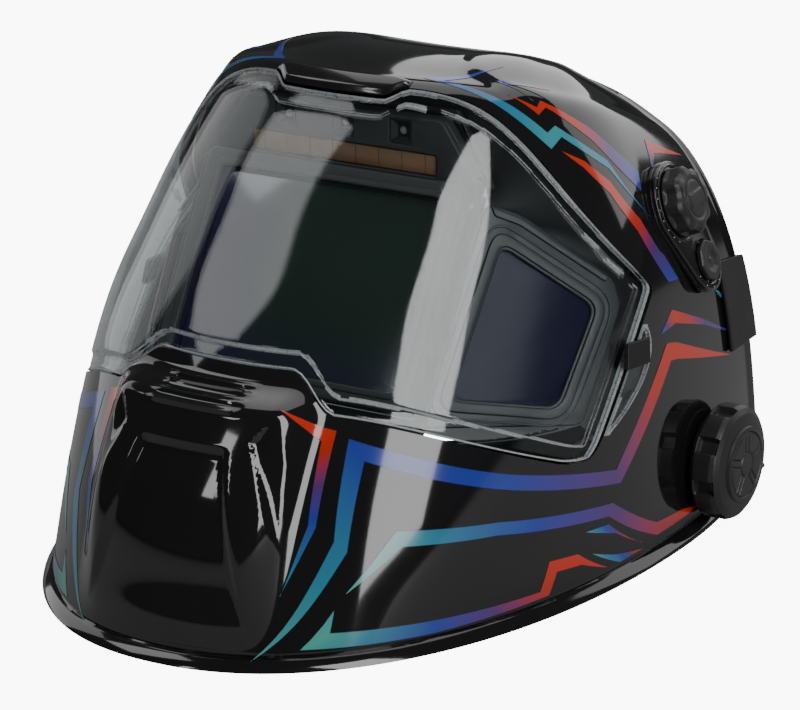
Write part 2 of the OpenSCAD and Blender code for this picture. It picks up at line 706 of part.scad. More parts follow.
module at_ratchet(y) {
    translate([0, y, band_z]) rotate([-90, 0, 0]) children();
}
module ratchet_housing() {
    color("#242628") difference() {
        union() {
            translate([-31, ratchet_y - 6, band_z - band_h / 2 - 1]) cube([62, housing_t + 6, band_h + 2]);
            at_ratchet(ratchet_y - 6) cylinder(r = 19, h = housing_t + 6);
        }
        translate([0, rear_c, band_z - band_h / 2 + 3.7]) cylinder(r = rear_r + 0.3, h = band_h - 7.4, $fn = 96);
        translate([0, rear_c, band_z - band_h]) cylinder(r = rear_r - band_t - 2.4, h = 2 * band_h, $fn = 96);
        at_ratchet(ratchet_y + 0.9) cylinder(r = 9, h = housing_t - 3);
        at_ratchet(ratchet_y) cylinder(r = 4.05, h = housing_t + 5);
    }
}

module ratchet_pinion() {
    teeth = 12;
    color("#d8d4c8") at_ratchet(ratchet_y + 1.5) {
        cylinder(r = 6.8, h = 4);
        for (k = [0:teeth - 1]) rotate(360 * k / teeth) translate([6, -0.9, 0]) cube([2.4, 1.8, 4]);
    }
}

module ratchet_knob() {
    ribs = 18;
    color("#1c1d1f") at_ratchet(ratchet_y + housing_t + 0.4) {
        difference() {
            cylinder(r = ratchet_r, h = ratchet_l);
            for (k = [0:ribs - 1]) rotate(360 * k / ribs) translate([ratchet_r + 0.8, 0, 2])
                cylinder(r = 1.8, h = ratchet_l);
            translate([0, 0, ratchet_l - 3]) cylinder(r = ratchet_r * 0.6, h = 4);
        }
        translate([0, 0, -housing_t + 5.1]) cylinder(r = 4, h = housing_t - 5);
    }
}

module rear_pad() {
    r = rear_r - band_t - 2.8;
    color("#2b2b2d") difference() {
        translate([0, rear_c, band_z - band_h / 2]) cylinder(r = r, h = band_h, $fn = 96);
        translate([0, rear_c, band_z - band_h]) cylinder(r = r - 6, h = 2 * band_h, $fn = 96);
        translate([-2 * r, rear_c - 4 * r + r * 0.8, band_z - band_h]) cube([4 * r, 4 * r, 2 * band_h]);
    }
}

placed() shell();
placed() brow_trim();
placed() cover_lens();
placed() lens_latch_left();
placed() lens_latch_right();
placed() inner_frame();
placed() side_frame_left();
placed() side_frame_right();
placed() side_window_left();
placed() side_window_right();
placed() filter_housing();
placed() filter_glass();
placed() solar_strip();
placed() light_sensors();
placed() filter_circuit();
placed() inner_cover_lens();
placed() filter_screws();
placed() control_plate();
placed() mode_knob();
placed() save_button();
placed() control_box();
placed() control_board();
placed() battery_drawer();
placed() coin_cell();
placed() signal_cable();
placed() edge_clip();
placed() pivot_bushing_left();
placed() pivot_bushing_right();
placed() stop_plate_left();
placed() stop_plate_right();
placed() tension_knob_left();
placed() tension_knob_right();
placed() pivot_screw_left();
placed() pivot_screw_right();
placed() friction_washer_left();
placed() friction_washer_right();
placed() side_arm_left();
placed() side_arm_right();
placed() headband_front();
placed() sweatband();
placed() reach_buttons();
placed() crown_strap();
placed() headband_rear();
placed() ratchet_housing();
placed() ratchet_pinion();
placed() ratchet_knob();
placed() rear_pad();
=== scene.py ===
"""Welding helmet: shell, lens, filter, controls and headgear, built round the CAD frame.

Lengths are in millimetres unless a name ends in _m. The shell goes through the same eleven rings as the
CAD model's, with a smoother curve between them: s runs round the shell from the right rear edge (-1)
over the front (0) to the left rear edge (1), and v climbs from the rim (0) to the rear of the crown (10).
"""

import math

import bmesh
import bpy
import numpy as np
from mathutils import Matrix, Vector


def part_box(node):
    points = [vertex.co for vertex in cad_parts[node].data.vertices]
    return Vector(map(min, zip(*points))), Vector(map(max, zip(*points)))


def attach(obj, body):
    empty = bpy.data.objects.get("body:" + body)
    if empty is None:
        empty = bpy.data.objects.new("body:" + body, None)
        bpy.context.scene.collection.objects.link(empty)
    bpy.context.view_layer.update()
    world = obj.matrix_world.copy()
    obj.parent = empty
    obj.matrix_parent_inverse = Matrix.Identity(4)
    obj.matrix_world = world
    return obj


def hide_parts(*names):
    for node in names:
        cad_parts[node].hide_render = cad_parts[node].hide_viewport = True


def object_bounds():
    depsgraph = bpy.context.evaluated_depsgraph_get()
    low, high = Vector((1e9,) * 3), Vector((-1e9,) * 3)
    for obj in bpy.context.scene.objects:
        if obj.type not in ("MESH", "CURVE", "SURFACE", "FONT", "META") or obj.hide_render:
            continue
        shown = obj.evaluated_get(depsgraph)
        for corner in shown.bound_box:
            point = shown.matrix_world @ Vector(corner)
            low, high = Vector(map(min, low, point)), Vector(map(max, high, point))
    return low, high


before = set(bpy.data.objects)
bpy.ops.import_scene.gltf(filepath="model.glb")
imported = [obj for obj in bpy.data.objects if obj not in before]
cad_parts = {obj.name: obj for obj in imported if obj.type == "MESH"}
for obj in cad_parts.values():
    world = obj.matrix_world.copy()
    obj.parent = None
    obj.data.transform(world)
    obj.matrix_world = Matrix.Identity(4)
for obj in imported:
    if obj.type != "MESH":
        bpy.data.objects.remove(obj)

bl_info = {
    "name": "Welding helmet",
    "version": (1, 0, 0),
    "blender": (4, 5, 0),
    "location": "3D View > Sidebar > Helmet",
    "description": "Builds a welding helmet round its CAD frame",
    "category": "Add Mesh",
}

MM = 0.001
CAD_LOW, CAD_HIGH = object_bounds()
RIM_BEAD = 3.5
WALL = 3.0
# The chin's foremost point of the rim, before the frame's origin moved to the middle of the helmet.
CHIN_Y = -188.0
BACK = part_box("shell")[0].y / MM - (CHIN_Y - RIM_BEAD)


# ---- Lines of the shell ---------------------------------------------------------------------------
RINGS = 10
FRONT_Y = (-188, -180, -164, -135, -107, -79, -49, -32, 0, 44, 86)
FRONT_Z = (0, 20, 60, 105, 135, 165, 197, 203, 203.5, 195, 178)
REAR_Z = (8, 26, 56, 88, 110, 133, 153, 162, 170, 175, 177)
HALF_W = (124, 124, 122, 118, 112, 103, 88, 76, 61, 45, 36)
TURN_AT = (0.72, 0.72, 0.72, 0.70, 0.68, 0.65, 0.61, 0.58, 0.54, 0.52, 0.50)
FULLNESS = (2.15, 2.15, 2.15) + (2.2,) * 8
REAR_HALF_W, REAR_TOP, REAR_FULL, REAR_Y = 118.5, 178.5, 3.2, 104.0
FRONT_SHARE = 0.6
STEP = 0.01


def along(values, v):
    """A curve of even curvature through the values of the eleven rings, read at v."""
    y = np.array(values, dtype=float)
    band = 4 * np.eye(RINGS + 1) + np.eye(RINGS + 1, k=1) + np.eye(RINGS + 1, k=-1)
    band[0], band[-1] = np.eye(RINGS + 1)[0], np.eye(RINGS + 1)[-1]
    bend = np.linalg.solve(band, np.concatenate([[0], 6 * (y[2:] - 2 * y[1:-1] + y[:-2]), [0]]))
    w = np.clip(v, 0, RINGS - 1e-4)
    i = np.floor(w).astype(int)
    t = w - i
    curve = (bend[i] * ((1 - t) ** 3 - (1 - t)) + bend[i + 1] * (t**3 - t)) / 6
    return mix(y[i], y[i + 1], t) + curve


def ease(t):
    t = np.clip(t, 0, 1)
    return t * t * (3 - 2 * t)


def mix(a, b, t):
    return a + (b - a) * t


def smooth_skin(s, v):
    """Points of the plain shell, without its relief."""
    turn, ze, a, full = along(TURN_AT, v), along(REAR_Z, v), along(HALF_W, v), along(FULLNESS, v)
    yc, zc = along(FRONT_Y, v), along(FRONT_Z, v)
    q = np.abs(s)
    f = np.where(q < FRONT_SHARE, turn * (1 - np.cos(math.pi / 2 * q / FRONT_SHARE)),
                 turn + (1 - turn) * (q - FRONT_SHARE) / (1 - FRONT_SHARE))
    xe = REAR_HALF_W * np.maximum(0, 1 - np.minimum(ze / REAR_TOP, 1) ** REAR_FULL) ** (1 / REAR_FULL)
    xe = np.minimum(xe, a)
    front = a * np.maximum(0, 1 - np.clip(1 - f / turn, 0, 1) ** full) ** (1 / full)
    x = np.where(f < turn, front, a - (a - xe) * np.maximum(0, (f - turn) / (1 - turn)) ** 2)
    low = np.maximum(0, (f - turn) / (1 - turn)) ** 2
    climb = mix(low, f**1.3, np.clip(v / 1.5, 0, 1))
    return np.stack([np.sign(s) * x, mix(yc, REAR_Y - 0.1 * ze, f) + BACK, mix(zc, ze, climb)], -1)


def unit(p):
    return p / np.maximum(np.linalg.norm(p, axis=-1, keepdims=True), 1e-12)


def out_dir(s, v):
    """The direction that faces out of the shell."""
    side = smooth_skin(s + STEP, v) - smooth_skin(s - STEP, v)
    off_centre = np.where(np.abs(s) < 1e-6, STEP / 2, s)
    rise = smooth_skin(off_centre, v + STEP) - smooth_skin(off_centre, v - STEP)
    n = unit(np.cross(side, rise))
    n[..., 0] = np.where(np.abs(s) < 1e-6, 0, n[..., 0])
    n = unit(n)
    n[..., 2] *= ease(v / 0.3)
    return unit(n)


def chin(s, v):
    """The ridge under the lens."""
    return 11 * ease((v - 0.2) / 2) * (1 - ease((v - 2.6) / 0.35)) * (1 - ease((np.abs(s) - 0.085) / 0.06))


def relief(s, v):
    """Everything that stands proud of the plain shell, or is sunk into it."""
    m = np.abs(s)
    rise = chin(s, v) + RIM_BEAD * (1 - ease(v / 0.35))
    # A groove above the rolled rim, and the thickened rear edge.
    rise -= 0.9 * np.exp(-(((v - 0.30) / 0.035) ** 2))
    rise += 1.1 * ease((m - 0.978) / 0.012) * (1 - ease((v - 9.2) / 0.5))
    # The chin panel, a trapezoid with a bevelled edge.
    half = 0.050 + 0.036 * (2.36 - v)
    rise -= 2.6 * ease((half - m) / 0.009) * ease((2.38 - v) / 0.07) * ease((v - 0.7) / 0.7)
    # Vent ridges across the nose.
    for k in range(4):
        centre = 2.62 + 0.085 * k
        tooth = np.clip(1 - np.abs(v - centre) / 0.034, 0, 1)
        rise += 1.5 * tooth * ease((0.058 - m) / 0.022)
    # A scooped flute on each side of the nose.
    inner = np.where(v < 2.42, mix(0.126, 0.072, np.clip((v - 1.6) / 0.82, 0, 1)),
                     mix(0.072, 0.092, np.clip((v - 2.42) / 0.24, 0, 1)))
    outer = np.where(v < 2.3, mix(0.126, 0.112, np.clip((v - 1.6) / 0.7, 0, 1)),
                     mix(0.112, 0.092, np.clip((v - 2.3) / 0.36, 0, 1)))
    width = np.maximum(outer - inner, 1e-4)
    across = np.clip((m - inner) / width, 0, 1)
    inside = (m > inner) & (m < outer) & (v > 1.6) & (v < 2.66)
    scoop = np.sin(math.pi * across**0.6) * np.minimum(1, width / 0.03)
    rise -= np.where(inside, 2.4 * scoop * ease((v - 1.6) / 0.3) * ease((2.66 - v) / 0.15), 0)
    # The crown panel's soft step, which runs back from beside the lens.
    crease = 5.75 + 2.1 * np.clip((0.44 - m) / 0.26, 0, 1) ** 1.5
    behind = 1 - ease((v - 8) / 1.2)
    rise += 1.3 * ease((v - crease + 0.2) / 0.7) * ease((0.46 - m) / 0.14) * ease((m - 0.12) / 0.16) * behind
    return rise


def skin(s, v, off=0.0):
    """Points at a distance off outside the finished shell."""
    s, v = np.asarray(s, dtype=float), np.asarray(v, dtype=float)
    n = out_dir(s, v)
    return smooth_skin(s, v) + n * (np.asarray(off) + relief(s, v))[..., None]


# ---- Outline of the window ------------------------------------------------------------------------
LOW_CORNER, HIGH_CORNER = (0.462, 1.96), (0.556, 3.74)
TRIM_S, TRIM_TOP, LENS_TOP = 0.135, 6.25, 6.0


def low_edge(s):
    drop = 0.8 * np.clip((s - 0.14) / 0.32, 0, 1) ** 1.5
    return 3.05 - 0.37 * ease((s - 0.08) / 0.07) - drop + 0.085 * np.clip((s - 0.42) / 0.042, 0, 1) ** 2


def high_edge(s):
    drop = 2.45 * np.clip((s - TRIM_S) / 0.42, 0, 1) ** 1.8
    return TRIM_TOP - drop - 0.06 * np.clip((s - 0.52) / 0.036, 0, 1) ** 2


def side_edge(v):
    rounded = 0.007 * np.clip(1 - (v - LOW_CORNER[1]) / 0.15, 0, 1) ** 2
    rounded = rounded + 0.016 * np.clip(1 - (HIGH_CORNER[1] - v) / 0.2, 0, 1) ** 2
    return 0.47 + 0.058 * (v - 1.98) - rounded


# ---- Places ---------------------------------------------------------------------------------------
def turned_to(x, y, z, rx=0.0, ry=0.0, rz=0.0):
    """A place in the helmet, in millimetres, turned about X, then Y, then Z, in degrees."""
    spin = Matrix.Rotation(math.radians(rz), 4, "Z") @ Matrix.Rotation(math.radians(ry), 4, "Y")
    return Matrix.Translation((x, y + BACK, z)) @ spin @ Matrix.Rotation(math.radians(rx), 4, "X")


MIRROR = Matrix.Scale(-1, 4, (1, 0, 0))
UPRIGHT = Matrix.Rotation(math.radians(90), 4, "X")
FILTER = turned_to(0, -67, 122, rx=-31)
FASCIA = turned_to(0, -41, 163.5)
SIDE = turned_to(66, -57, 118, rx=-20.3, rz=52)
CONTROLS = turned_to(106.3, 47, 139.4, ry=70, rz=5)
PIVOT_Y, PIVOT_Z = 48, 30
BAND_R, BAND_T, BAND_H = 78, 2.5, 28
FRONT_C, REAR_C = 42, 66
REAR_R = BAND_R - BAND_T - 0.3
RATCHET = turned_to(0, REAR_C + REAR_R, PIVOT_Z, rx=-90)
SAVE_AT = (28.5, 10.3)


def at_pivot(x):
    return turned_to(x, PIVOT_Y, PIVOT_Z, ry=90)


# ---- Mesh helpers ---------------------------------------------------------------------------------
def mark_sharp(mesh, degrees=34):
    """Smooth faces, with creases where they meet at more than an angle."""
    bm = bmesh.new()
    bm.from_mesh(mesh)
    for face in bm.faces:
        face.smooth = True
    limit = math.radians(degrees)
    for edge in bm.edges:
        edge.smooth = not (len(edge.link_faces) == 2 and edge.calc_face_angle(0) > limit)
    bm.to_mesh(mesh)
    bm.free()


def new_piece(name, verts, faces, material, sharp=34, uv=None, uv_name="skin"):
    """A mesh object at the origin, from points in millimetres."""
    mesh = bpy.data.meshes.new(name)
    mesh.from_pydata([tuple(p) for p in np.asarray(verts) * MM], [], faces)
    if uv is not None:
        layer = mesh.uv_layers.new(name=uv_name)
        for loop in mesh.loops:
            layer.data[loop.index].uv = uv[loop.vertex_index]
    mesh.validate()
    mark_sharp(mesh, sharp)
    piece = bpy.data.objects.new(name, mesh)
    bpy.context.scene.collection.objects.link(piece)
    mesh.materials.append(finish(material))
    return piece


def keep(piece, body, slot, *nodes):
    """The piece rides on a body and stands for the CAD nodes. The slot is not used."""
    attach(piece, body)
    if nodes:
        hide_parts(*nodes)
    return piece


def move(piece, place):
    """Bakes a place into the mesh. A mirrored place keeps its faces pointing outwards."""
    piece.data.transform(place)
    if place.determinant() < 0:
        piece.data.flip_normals()
    return piece


def in_metres(place):
    """The same place for a mesh that is already in metres."""
    out = place.copy()
    out.translation = place.translation * MM
    return out


def join(name, pieces):
    """One object out of several."""
    bm = bmesh.new()
    for piece in pieces:
        bm.from_mesh(piece.data)
    mesh = pieces[0].data.copy()
    bm.to_mesh(mesh)
    bm.free()
    for piece in pieces:
        bpy.data.objects.remove(piece)
    joined = bpy.data.objects.new(name, mesh)
    bpy.context.scene.collection.objects.link(joined)
    return joined


def sheet(name, s, v, outer, inner, material, hole=None, sharp=34):
    """A closed sheet over a grid of (s, v), between two distances from the shell."""
    rows, cols = s.shape
    outer, inner = np.broadcast_to(outer, s.shape), np.broadcast_to(inner, s.shape)
    points = np.concatenate([skin(s, v, outer).reshape(-1, 3), skin(s, v, inner).reshape(-1, 3)])
    uv = np.stack([s.ravel() / 2 + 0.5, v.ravel() / RINGS], -1)
    kept = np.ones((rows + 1, cols + 1), dtype=bool)
    kept[0], kept[-1], kept[:, 0], kept[:, -1] = False, False, False, False
    if hole:
        kept[hole[0] + 1:hole[1] + 1, hole[2] + 1:hole[3] + 1] = False
    count = rows * cols
    faces = []
    for j in range(rows - 1):
        for i in range(cols - 1):
            if not kept[j + 1, i + 1]:
                continue
            a, b, c, d = j * cols + i, j * cols + i + 1, (j + 1) * cols + i + 1, (j + 1) * cols + i
            faces.append((a, b, c, d))
            faces.append((a + count, d + count, c + count, b + count))
            for shown, p, q in ((kept[j, i + 1], a, b), (kept[j + 1, i + 2], b, c),
                                (kept[j + 2, i + 1], c, d), (kept[j + 1, i], d, a)):
                if not shown:
                    faces.append((q, p, p + count, q + count))
    used = sorted({k for face in faces for k in face})
    place = {k: n for n, k in enumerate(used)}
    faces = [tuple(place[k] for k in face) for face in faces]
    uv = np.concatenate([uv, uv])[used]
    return new_piece(name, points[used], faces, material, sharp, uv)


def turned(name, profile, place, material, detail=None, segments=96, step=1.2, sharp=34):
    """A solid of revolution about the place's Z, from a profile of (radius, height). The profile starts
    and ends on the axis, and detail(angle, radius, height) gives a change of radius and height."""
    path = [profile[0]]
    for (r0, z0), (r1, z1) in zip(profile, profile[1:]):
        n = max(1, int(math.hypot(r1 - r0, z1 - z0) / step)) if detail else 1
        path += [(mix(r0, r1, k / n), mix(z0, z1, k / n)) for k in range(1, n + 1)]
    path = path[1:-1]
    angle = np.arange(segments) * 2 * math.pi / segments
    r = np.array([p[0] for p in path])[:, None] + 0 * angle
    z = np.array([p[1] for p in path])[:, None] + 0 * angle
    if detail:
        dr, dz = detail(angle[None, :] + 0 * r, r, z)
        r, z = r + dr, z + dz
    points = np.stack([r * np.cos(angle), r * np.sin(angle), z], -1).reshape(-1, 3)
    ends = [(0, 0, profile[0][1]), (0, 0, profile[-1][1])]
    points = np.concatenate([points, ends])
    rows = len(path)
    faces = []
    for j in range(rows - 1):
        for i in range(segments):
            k = (i + 1) % segments
            faces.append((j * segments + i, j * segments + k, (j + 1) * segments + k, (j + 1) * segments + i))
    for i in range(segments):
        k = (i + 1) % segments
        faces.append((len(points) - 2, k, i))
        faces.append((len(points) - 1, (rows - 1) * segments + i, (rows - 1) * segments + k))
    piece = new_piece(name, points, faces, material, sharp)
    return move(piece, in_metres(place))


def rounded(points, radius, steps=5):
    """An outline with its corners rounded by arcs."""
    out = []
    n = len(points)
    for k in range(n):
        before, here, after = (Vector(points[j % n]) for j in (k - 1, k, k + 1))
        into, away = (before - here).normalized(), (after - here).normalized()
        reach = min(radius, 0.45 * (before - here).length, 0.45 * (after - here).length)
        start, end = here + into * reach, here + away * reach
        for j in range(steps + 1):
            t = j / steps
            out.append(tuple((1 - t) ** 2 * start + 2 * t * (1 - t) * here + t**2 * end))
    return out


def box_outline(x0, y0, x1, y1):
    return [(x0, y0), (x1, y0), (x1, y1), (x0, y1)]


def circle_outline(x, y, r, steps=32):
    return [(x + r * math.cos(2 * math.pi * k / steps), y + r * math.sin(2 * math.pi * k / steps))
            for k in range(steps)]


def plate(name, outline, holes, depth, place, material, edge=0.4, start=0.0, upright=True):
    """A flat piece with rounded edges. Its outline lies in the place's X and Z and its depth runs along
    +Y from start, or, where upright is false, in X and Y with its depth along +Z."""
    curve = bpy.data.curves.new(name, "CURVE")
    curve.dimensions, curve.fill_mode = "2D", "BOTH"
    curve.extrude = (depth / 2 - edge) * MM
    curve.bevel_depth, curve.bevel_resolution, curve.offset = edge * MM, 2, -edge * MM
    for points in [outline] + list(holes):
        line = curve.splines.new("POLY")
        line.points.add(len(points) - 1)
        for k, (x, y) in enumerate(points):
            line.points[k].co = (x * MM, y * MM, 0, 1)
        line.use_cyclic_u = True
    holder = bpy.data.objects.new(name + "_outline", curve)
    bpy.context.scene.collection.objects.link(holder)
    bpy.context.view_layer.update()
    mesh = bpy.data.meshes.new_from_object(holder.evaluated_get(bpy.context.evaluated_depsgraph_get()))
    bpy.data.objects.remove(holder)
    bm = bmesh.new()
    bm.from_mesh(mesh)
    bmesh.ops.remove_doubles(bm, verts=bm.verts, dist=2e-6)
    bmesh.ops.recalc_face_normals(bm, faces=bm.faces)
    bm.to_mesh(mesh)
    bm.free()
    mark_sharp(mesh, 40)
    mesh.materials.clear()
    mesh.materials.append(finish(material))
    piece = bpy.data.objects.new(name, mesh)
    bpy.context.scene.collection.objects.link(piece)
    lie = UPRIGHT if upright else Matrix.Identity(4)
    shift = Vector((0, (start + depth / 2) * MM, 0)) if upright else Vector((0, 0, (start + depth / 2) * MM))
    return move(piece, in_metres(place) @ Matrix.Translation(shift) @ lie)


def node_copy(node, name, material, bevel=0.35, segments=2):
    """A CAD node's own shape with its edges rounded."""
    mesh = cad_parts[node].data.copy()
    bm = bmesh.new()
    bm.from_mesh(mesh)
    bmesh.ops.remove_doubles(bm, verts=bm.verts, dist=1e-5)
    bmesh.ops.dissolve_limit(bm, angle_limit=math.radians(1), verts=bm.verts, edges=bm.edges)
    bm.to_mesh(mesh)
    bm.free()
    mesh.materials.clear()
    mesh.materials.append(finish(material))
    mark_sharp(mesh, 30)
    piece = bpy.data.objects.new(name, mesh)
    bpy.context.scene.collection.objects.link(piece)
    if bevel:
        edges = piece.modifiers.new("edges", "BEVEL")
        edges.width, edges.segments, edges.limit_method = bevel * MM, segments, "ANGLE"
        edges.angle_limit = math.radians(40)
        edges.harden_normals = True
    return piece


# ---- Shader maths ---------------------------------------------------------------------------------
class Value:
    """A socket that can be added, multiplied and compared like a number."""

    def __init__(self, shader, socket):
        self.shader, self.socket = shader, socket

    def _math(self, operation, other=0.0, swap=False, third=None):
        a, b = (other, self) if swap else (self, other)
        inputs = {0: a, 1: b}
        if third is not None:
            inputs[2] = third
        return self.shader.node("ShaderNodeMath", {"operation": operation}, inputs)

    def __add__(self, other): return self._math("ADD", other)
    def __radd__(self, other): return self._math("ADD", other)
    def __sub__(self, other): return self._math("SUBTRACT", other)
    def __rsub__(self, other): return self._math("SUBTRACT", other, swap=True)
    def __mul__(self, other): return self._math("MULTIPLY", other)
    def __rmul__(self, other): return self._math("MULTIPLY", other)
    def __truediv__(self, other): return self._math("DIVIDE", other)
    def __pow__(self, other): return self._math("POWER", other)
    def __abs__(self): return self._math("ABSOLUTE")
    def __gt__(self, other): return self._math("GREATER_THAN", other)
    def __lt__(self, other): return self._math("LESS_THAN", other)
    def sine(self): return self._math("SINE")
    def fraction(self): return self._math("FRACT")
    def clamp(self): return self._math("MAXIMUM", 0.0)._math("MINIMUM", 1.0)


class Shader:
    """One material's node tree."""

    def __init__(self, name):
        self.material = bpy.data.materials.new(name)
        self.material.use_nodes = True
        self.tree = self.material.node_tree
        self.tree.nodes.clear()

    def node(self, kind, settings=None, inputs=None, output=0):
        made = self.tree.nodes.new(kind)
        for key, value in (settings or {}).items():
            if key == "stops":
                self._stops(made.color_ramp, value)
            else:
                setattr(made, key, value)
        for key, value in (inputs or {}).items():
            if isinstance(value, Value):
                self.tree.links.new(value.socket, made.inputs[key])
            else:
                made.inputs[key].default_value = value
        return Value(self, made.outputs[output]) if len(made.outputs) else None

    @staticmethod
    def _stops(ramp, stops):
        while len(ramp.elements) < len(stops):
            ramp.elements.new(1.0)
        for element, (at, colour) in zip(ramp.elements, stops):
            element.position = at
            element.color = (*colour, 1)

    def place(self):
        return self.node("ShaderNodeTexCoord", output="Object")

    def uv(self, name):
        return self.node("ShaderNodeUVMap", {"uv_map": name})

    def axes(self, vector):
        parts = self.node("ShaderNodeSeparateXYZ", inputs={0: vector})
        return [Value(self, parts.socket.node.outputs[k]) for k in range(3)]

    def noise(self, per_mm, detail=3.0, stretch=None, rough=0.55):
        """Noise with about per_mm features to a millimetre."""
        at = self.place()
        if stretch:
            at = self.node("ShaderNodeVectorMath", {"operation": "MULTIPLY"}, {0: at, 1: stretch})
        return self.node("ShaderNodeTexNoise", {"noise_dimensions": "3D"},
                         {"Vector": at, "Scale": per_mm / MM, "Detail": detail, "Roughness": rough})

    def blend(self, factor, a, b):
        inputs = {0: factor}
        for key, colour in ((6, a), (7, b)):
            inputs[key] = colour if isinstance(colour, Value) else (*colour, 1)
        return self.node("ShaderNodeMix", {"data_type": "RGBA"}, inputs, output=2)

    def bump(self, height, depth, strength=1.0):
        """A height from 0 to 1 pressed in to a depth in millimetres."""
        return self.node("ShaderNodeBump", inputs={"Height": height, "Distance": depth * MM,
                                                   "Strength": strength})

    def surface(self, **inputs):
        names = {key.replace("_", " "): value for key, value in inputs.items()}
        return self.node("ShaderNodeBsdfPrincipled", inputs=names)

    def done(self, surface):
        self.node("ShaderNodeOutputMaterial", inputs={"Surface": surface})
        return self.material


def gloss_shell(name):
    """Black gloss plastic with faint flow marks, dust and hairline scratches that thicken at the rim."""
    m = Shader(name)
    cloud, fine = m.noise(0.02), m.noise(1.6, 2)
    hair = m.noise(0.9, 4, (0.06, 1, 2.2))
    scratch = (hair > 0.66) * m.noise(0.05)
    height = m.axes(m.place())[2]
    low = (1 - height / 0.012).clamp()
    rough = 0.045 + 0.03 * cloud + 0.08 * scratch + 0.05 * low * cloud
    colour = m.blend(cloud, (0.0045, 0.0045, 0.005), (0.0095, 0.0095, 0.0105))
    worn = m.blend(low * (fine > 0.68) * 0.25, colour, (0.04, 0.04, 0.042))
    return m.done(m.surface(Base_Color=worn, Roughness=rough, Coat_Weight=0.35, Coat_Roughness=0.04,
                            Specular_IOR_Level=0.5, Normal=m.bump(fine, 0.002, 0.2)))


def stripe_film(name):
    """Printed film that fades from teal through blue to red along each stripe."""
    m = Shader(name)
    fade, across, _ = m.axes(m.uv("tint"))
    ramp = m.node("ShaderNodeValToRGB", {"stops": [
        (0.0, (0.075, 0.36, 0.30)), (0.22, (0.030, 0.20, 0.30)), (0.5, (0.020, 0.042, 0.29)),
        (0.68, (0.085, 0.028, 0.15)), (0.86, (0.42, 0.024, 0.010)), (1.0, (0.50, 0.026, 0.009))]}, {0: fade})
    grain, edge = m.noise(3.0, 2), abs(across - 0.5) * 2
    colour = m.blend((edge > 0.93) * 0.35 + 0.08 * grain, ramp, (0.01, 0.01, 0.012))
    return m.done(m.surface(Base_Color=colour, Roughness=0.10 + 0.06 * grain, Coat_Weight=0.35,
                            Coat_Roughness=0.04, Normal=m.bump(m.noise(1.6, 2), 0.002, 0.2)))


def clear_sheet(name, tint=(0.93, 0.96, 0.965), strength=0.026, haze=0.02):
    """Clear polycarbonate: what is behind shows through, and the lights show in it."""
    m = Shader(name)
    dust, smear = m.noise(0.5, 4), m.noise(0.03, 3, (1, 1, 0.4))
    hair = m.noise(0.7, 4, (2.0, 0.1, 0.8)) > 0.70
    through = m.node("ShaderNodeBsdfTransparent", inputs={0: (*tint, 1)})
    gloss = m.surface(Base_Color=(1, 1, 1, 1), Metallic=1.0,
                      Roughness=0.03 + 0.04 * smear + 0.06 * hair * smear)
    facing = m.node("ShaderNodeLayerWeight", inputs={"Blend": 0.5}, output=1)
    amount = strength + haze * smear * dust + 0.7 * facing**5
    return m.done(m.node("ShaderNodeMixShader", inputs={0: amount.clamp(), 1: through, 2: gloss}))


def frosted_edge_painted_highlight(name):
    """Cut edge of the clear sheet: frosted, with a pale colour that is also a painted highlight."""
    m = Shader(name)
    grain = m.noise(0.8, 3)
    through = m.node("ShaderNodeBsdfTransparent", inputs={0: (0.9, 0.93, 0.94, 1)})
    # The pale colour is a painted highlight along the edge, over its frosted look.
    pale_painted_highlight = m.surface(Base_Color=m.blend(grain, (0.32, 0.34, 0.35), (0.62, 0.65, 0.66)),
                     Roughness=0.2 + 0.1 * grain)
    return m.done(m.node("ShaderNodeMixShader", inputs={0: 0.34 + 0.22 * grain, 1: through, 2: pale_painted_highlight}))


def moulded(name, colour, rough=0.45, grain=1.2, depth=0.02, coat=0.0, wear=0.25):
    """Moulded plastic: spark-eroded grain, uneven sheen and paler rubbed spots."""
    m = Shader(name)
    fine, broad = m.noise(grain, 3), m.noise(0.05, 3)
    rub = (broad - 0.55).clamp() * 2.2 * wear
    paler = tuple(min(1, c * 2.4 + 0.012) for c in colour)
    darker = tuple(c * 0.7 for c in colour)
    base = m.blend(fine * 0.6 + 0.2, darker, colour)
    base = m.blend(rub, base, paler)
    return m.done(m.surface(Base_Color=base, Roughness=rough + 0.14 * fine - 0.12 * broad, Coat_Weight=coat,
                            Specular_IOR_Level=0.45, Normal=m.bump(fine, depth, 0.6)))


def filter_coat(name):
    """Interference-coated glass: green where it is looked through, with a painted violet reflection towards
    its lower and left edges.
    """
    m = Shader(name)
    x, _, z = m.axes(m.place())
    # Painted reflection: the coating's violet reflection, painted in towards the lower and left edges.
    low = ((0.108 - z) / 0.03).clamp()
    left = ((-0.016 - x) / 0.02).clamp()
    edge = (low + left).clamp()
    patch = m.noise(0.025, 2)
    green = m.blend(patch, (0.009, 0.019, 0.013), (0.016, 0.032, 0.021))
    colour = m.blend(edge, green, (0.013, 0.009, 0.040))
    return m.done(m.surface(Base_Color=colour, Roughness=0.06 + 0.05 * m.noise(0.4), Coat_Weight=0.3,
                            Specular_IOR_Level=0.8, Normal=m.bump(patch, 0.01, 0.15)))


def violet_glass(name):
    """The same coating on the side windows, which stays violet."""
    m = Shader(name)
    patch, dust = m.noise(0.03, 2), m.noise(1.2, 3)
    colour = m.blend(patch, (0.009, 0.008, 0.024), (0.014, 0.012, 0.037))
    return m.done(m.surface(Base_Color=colour, Roughness=0.16 + 0.10 * dust,
                            Specular_IOR_Level=0.12, Normal=m.bump(dust, 0.004, 0.2)))


